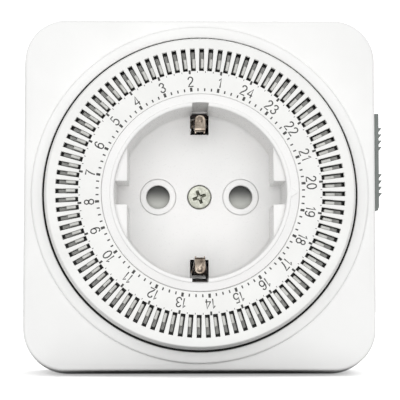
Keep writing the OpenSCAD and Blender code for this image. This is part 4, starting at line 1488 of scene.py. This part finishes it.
@dataclass
class Studio:
    """Round sweep of pale paper, soft lights and the camera."""

    floor: float = -40.5
    reach: float = 2.2
    curve: float = 0.8
    wall: float = 2.4
    eye: Point = (-5.0, -374.0, -22.5)
    aim: Point = (0.16, -24.0, -0.64)
    lens: float = 137.2
    sky: float = 0.85
    ground: float = 0.3
    floor_glow: float = 0.36
    wall_glow: float = 0.8
    front_light: float = 8.2
    back_light: float = 6.0
    card: float = 0.056
    felt: float = 0.044

    def sweep(self) -> None:
        """Paper sweep, a round floor that curves up into a wall, with the card that the timer stands on."""
        z, reach, curve, wall = self.floor * MM, self.reach, self.curve, self.wall
        steps = [QUARTER_TURN * k / 10 for k in range(1, 11)]
        out, top, thick = reach + curve, z + curve + wall, 0.01
        line = [(self.card, 0, z), (reach, 0, z)]
        line += [(reach + curve * math.sin(a), 0, z + curve * (1 - math.cos(a))) for a in steps]
        line += [(out, 0, top), (out + thick, 0, top), (out + thick, 0, z - thick), (self.card, 0, z - thick)]
        paper = spun(line, 96, (0, 0, 1))
        discs = []
        for level, radius in ((z - 0.001, self.card), (z - 0.003, self.felt)):
            lay_aside()
            bpy.ops.mesh.primitive_cylinder_add(vertices=96, radius=radius, depth=0.002, location=(0, 0, level))
            discs.append(settled())
        card, felt = discs
        white = self.paper()
        for piece, name in ((paper, "paper_sweep"), (card, "paper_card"), (felt, "felt_under_card")):
            take_up(piece)
            bpy.ops.object.shade_smooth_by_angle(angle=math.radians(SHARP))
            piece.name = name
            piece.data.materials.append(Finishes.FELT.material() if piece is felt else white)
        paper.visible_diffuse = card.visible_diffuse = paper.visible_shadow = card.visible_glossy = False
        felt.visible_camera = False

    def paper(self) -> bpy.types.Material:
        """Matt white background paper that glows, a painted light that is stronger the higher it is.

        Returns:
            The material.
        """
        material = bpy.data.materials.new("white_background_paper")
        material.use_nodes = True
        tree = material.node_tree
        shader = tree.nodes["Principled BSDF"]
        shader.inputs["Roughness"].default_value = 0.9
        shader.inputs["Specular IOR Level"].default_value = 0.1
        shader.inputs["Emission Color"].default_value = (1, 1, 1, 1)
        place = add_node(tree, "TexCoord")
        split = add_node(tree, "SeparateXYZ", links={"Vector": (place, "Object")})
        # Painted light: the paper glows, weakly on the floor and more strongly up the wall
        glow = add_node(tree, "MapRange", values={"From Min": 0.0, "From Max": 0.4,
                        "To Min": self.floor_glow, "To Max": self.wall_glow}, links={"Value": (split, "Z")})
        tree.links.new(glow.outputs["Result"], shader.inputs["Emission Strength"])
        fibre = add_node(tree, "TexNoise", values={"Scale": 60.0},
                         links={"Vector": (place, "Object")})
        tones = add_node(tree, "ValToRGB", links={"Fac": (fibre, "Fac")})
        tones.color_ramp.elements[0].color = linear("#fbfbfb")
        tones.color_ramp.elements[1].color = linear("#fefefe")
        tree.links.new(tones.outputs["Color"], shader.inputs["Base Color"])
        return material

    def air(self) -> None:
        """Soft light from all round above, hardly any from below."""
        world = bpy.data.worlds.new("studio_air")
        bpy.context.scene.world = world
        world.use_nodes = True
        tree = world.node_tree
        way = add_node(tree, "TexCoord")
        split = add_node(tree, "SeparateXYZ", links={"Vector": (way, "Generated")})
        rise = add_node(tree, "MapRange", values={"From Min": -0.7, "From Max": 1.0,
                        "To Min": self.ground, "To Max": self.sky}, links={"Value": (split, "Z")})
        tree.nodes["Background"].inputs["Color"].default_value = (1, 1, 1, 1)
        tree.links.new(rise.outputs["Result"], tree.nodes["Background"].inputs["Strength"])

    def light(self, name: str, place: Point, size: float, power: float) -> None:
        """Adds a soft square light that faces the timer.

        Args:
            name: Its name.
            place: Where it stands, in metres.
            size: Its width in metres.
            power: Its power in watts.
        """
        lay_aside()
        bpy.ops.object.light_add(type="AREA", location=place)
        lamp = bpy.context.object
        lamp.name, lamp.data.size, lamp.data.energy = name, size, power
        lamp.rotation_euler = (-Vector(place)).to_track_quat("-Z", "Y").to_euler()
        lamp.visible_camera = False

    def build(self) -> None:
        """Sets up the sweep, the air, the lights and the camera."""
        scene = bpy.context.scene
        scene.view_settings.view_transform = "Standard"
        self.sweep()
        self.air()
        self.light("front_softbox", (-0.02, -1.1, -0.05), 1.2, self.front_light)
        self.light("rear_softbox", (0.3, 0.95, 0.5), 0.8, self.back_light)
        lay_aside()
        bpy.ops.object.camera_add(location=Vector(self.eye) * MM)
        camera = bpy.context.object
        camera.name = "camera"
        camera.data.lens, camera.data.sensor_width = self.lens, 36.0
        camera.rotation_euler = (Vector(self.aim) - Vector(self.eye)).to_track_quat("-Z", "Y").to_euler()
        camera.data.clip_start, camera.data.clip_end = 0.02, 20.0
        scene.camera = camera


def main() -> None:
    """Builds the timer, dresses its CAD nodes and sets up the studio."""
    logging.basicConfig(level=logging.INFO, format="%(message)s")
    dial = Dial()
    for part in (FrontCover(), RearShell(), SocketWell(), Screws(), EarthClips(), PlugPins(), dial,
                 Segments(dial), OverrideSlider()):
        part.build()
    dress_cad_nodes()
    Studio().build()


if __name__ == "__main__":
    main()
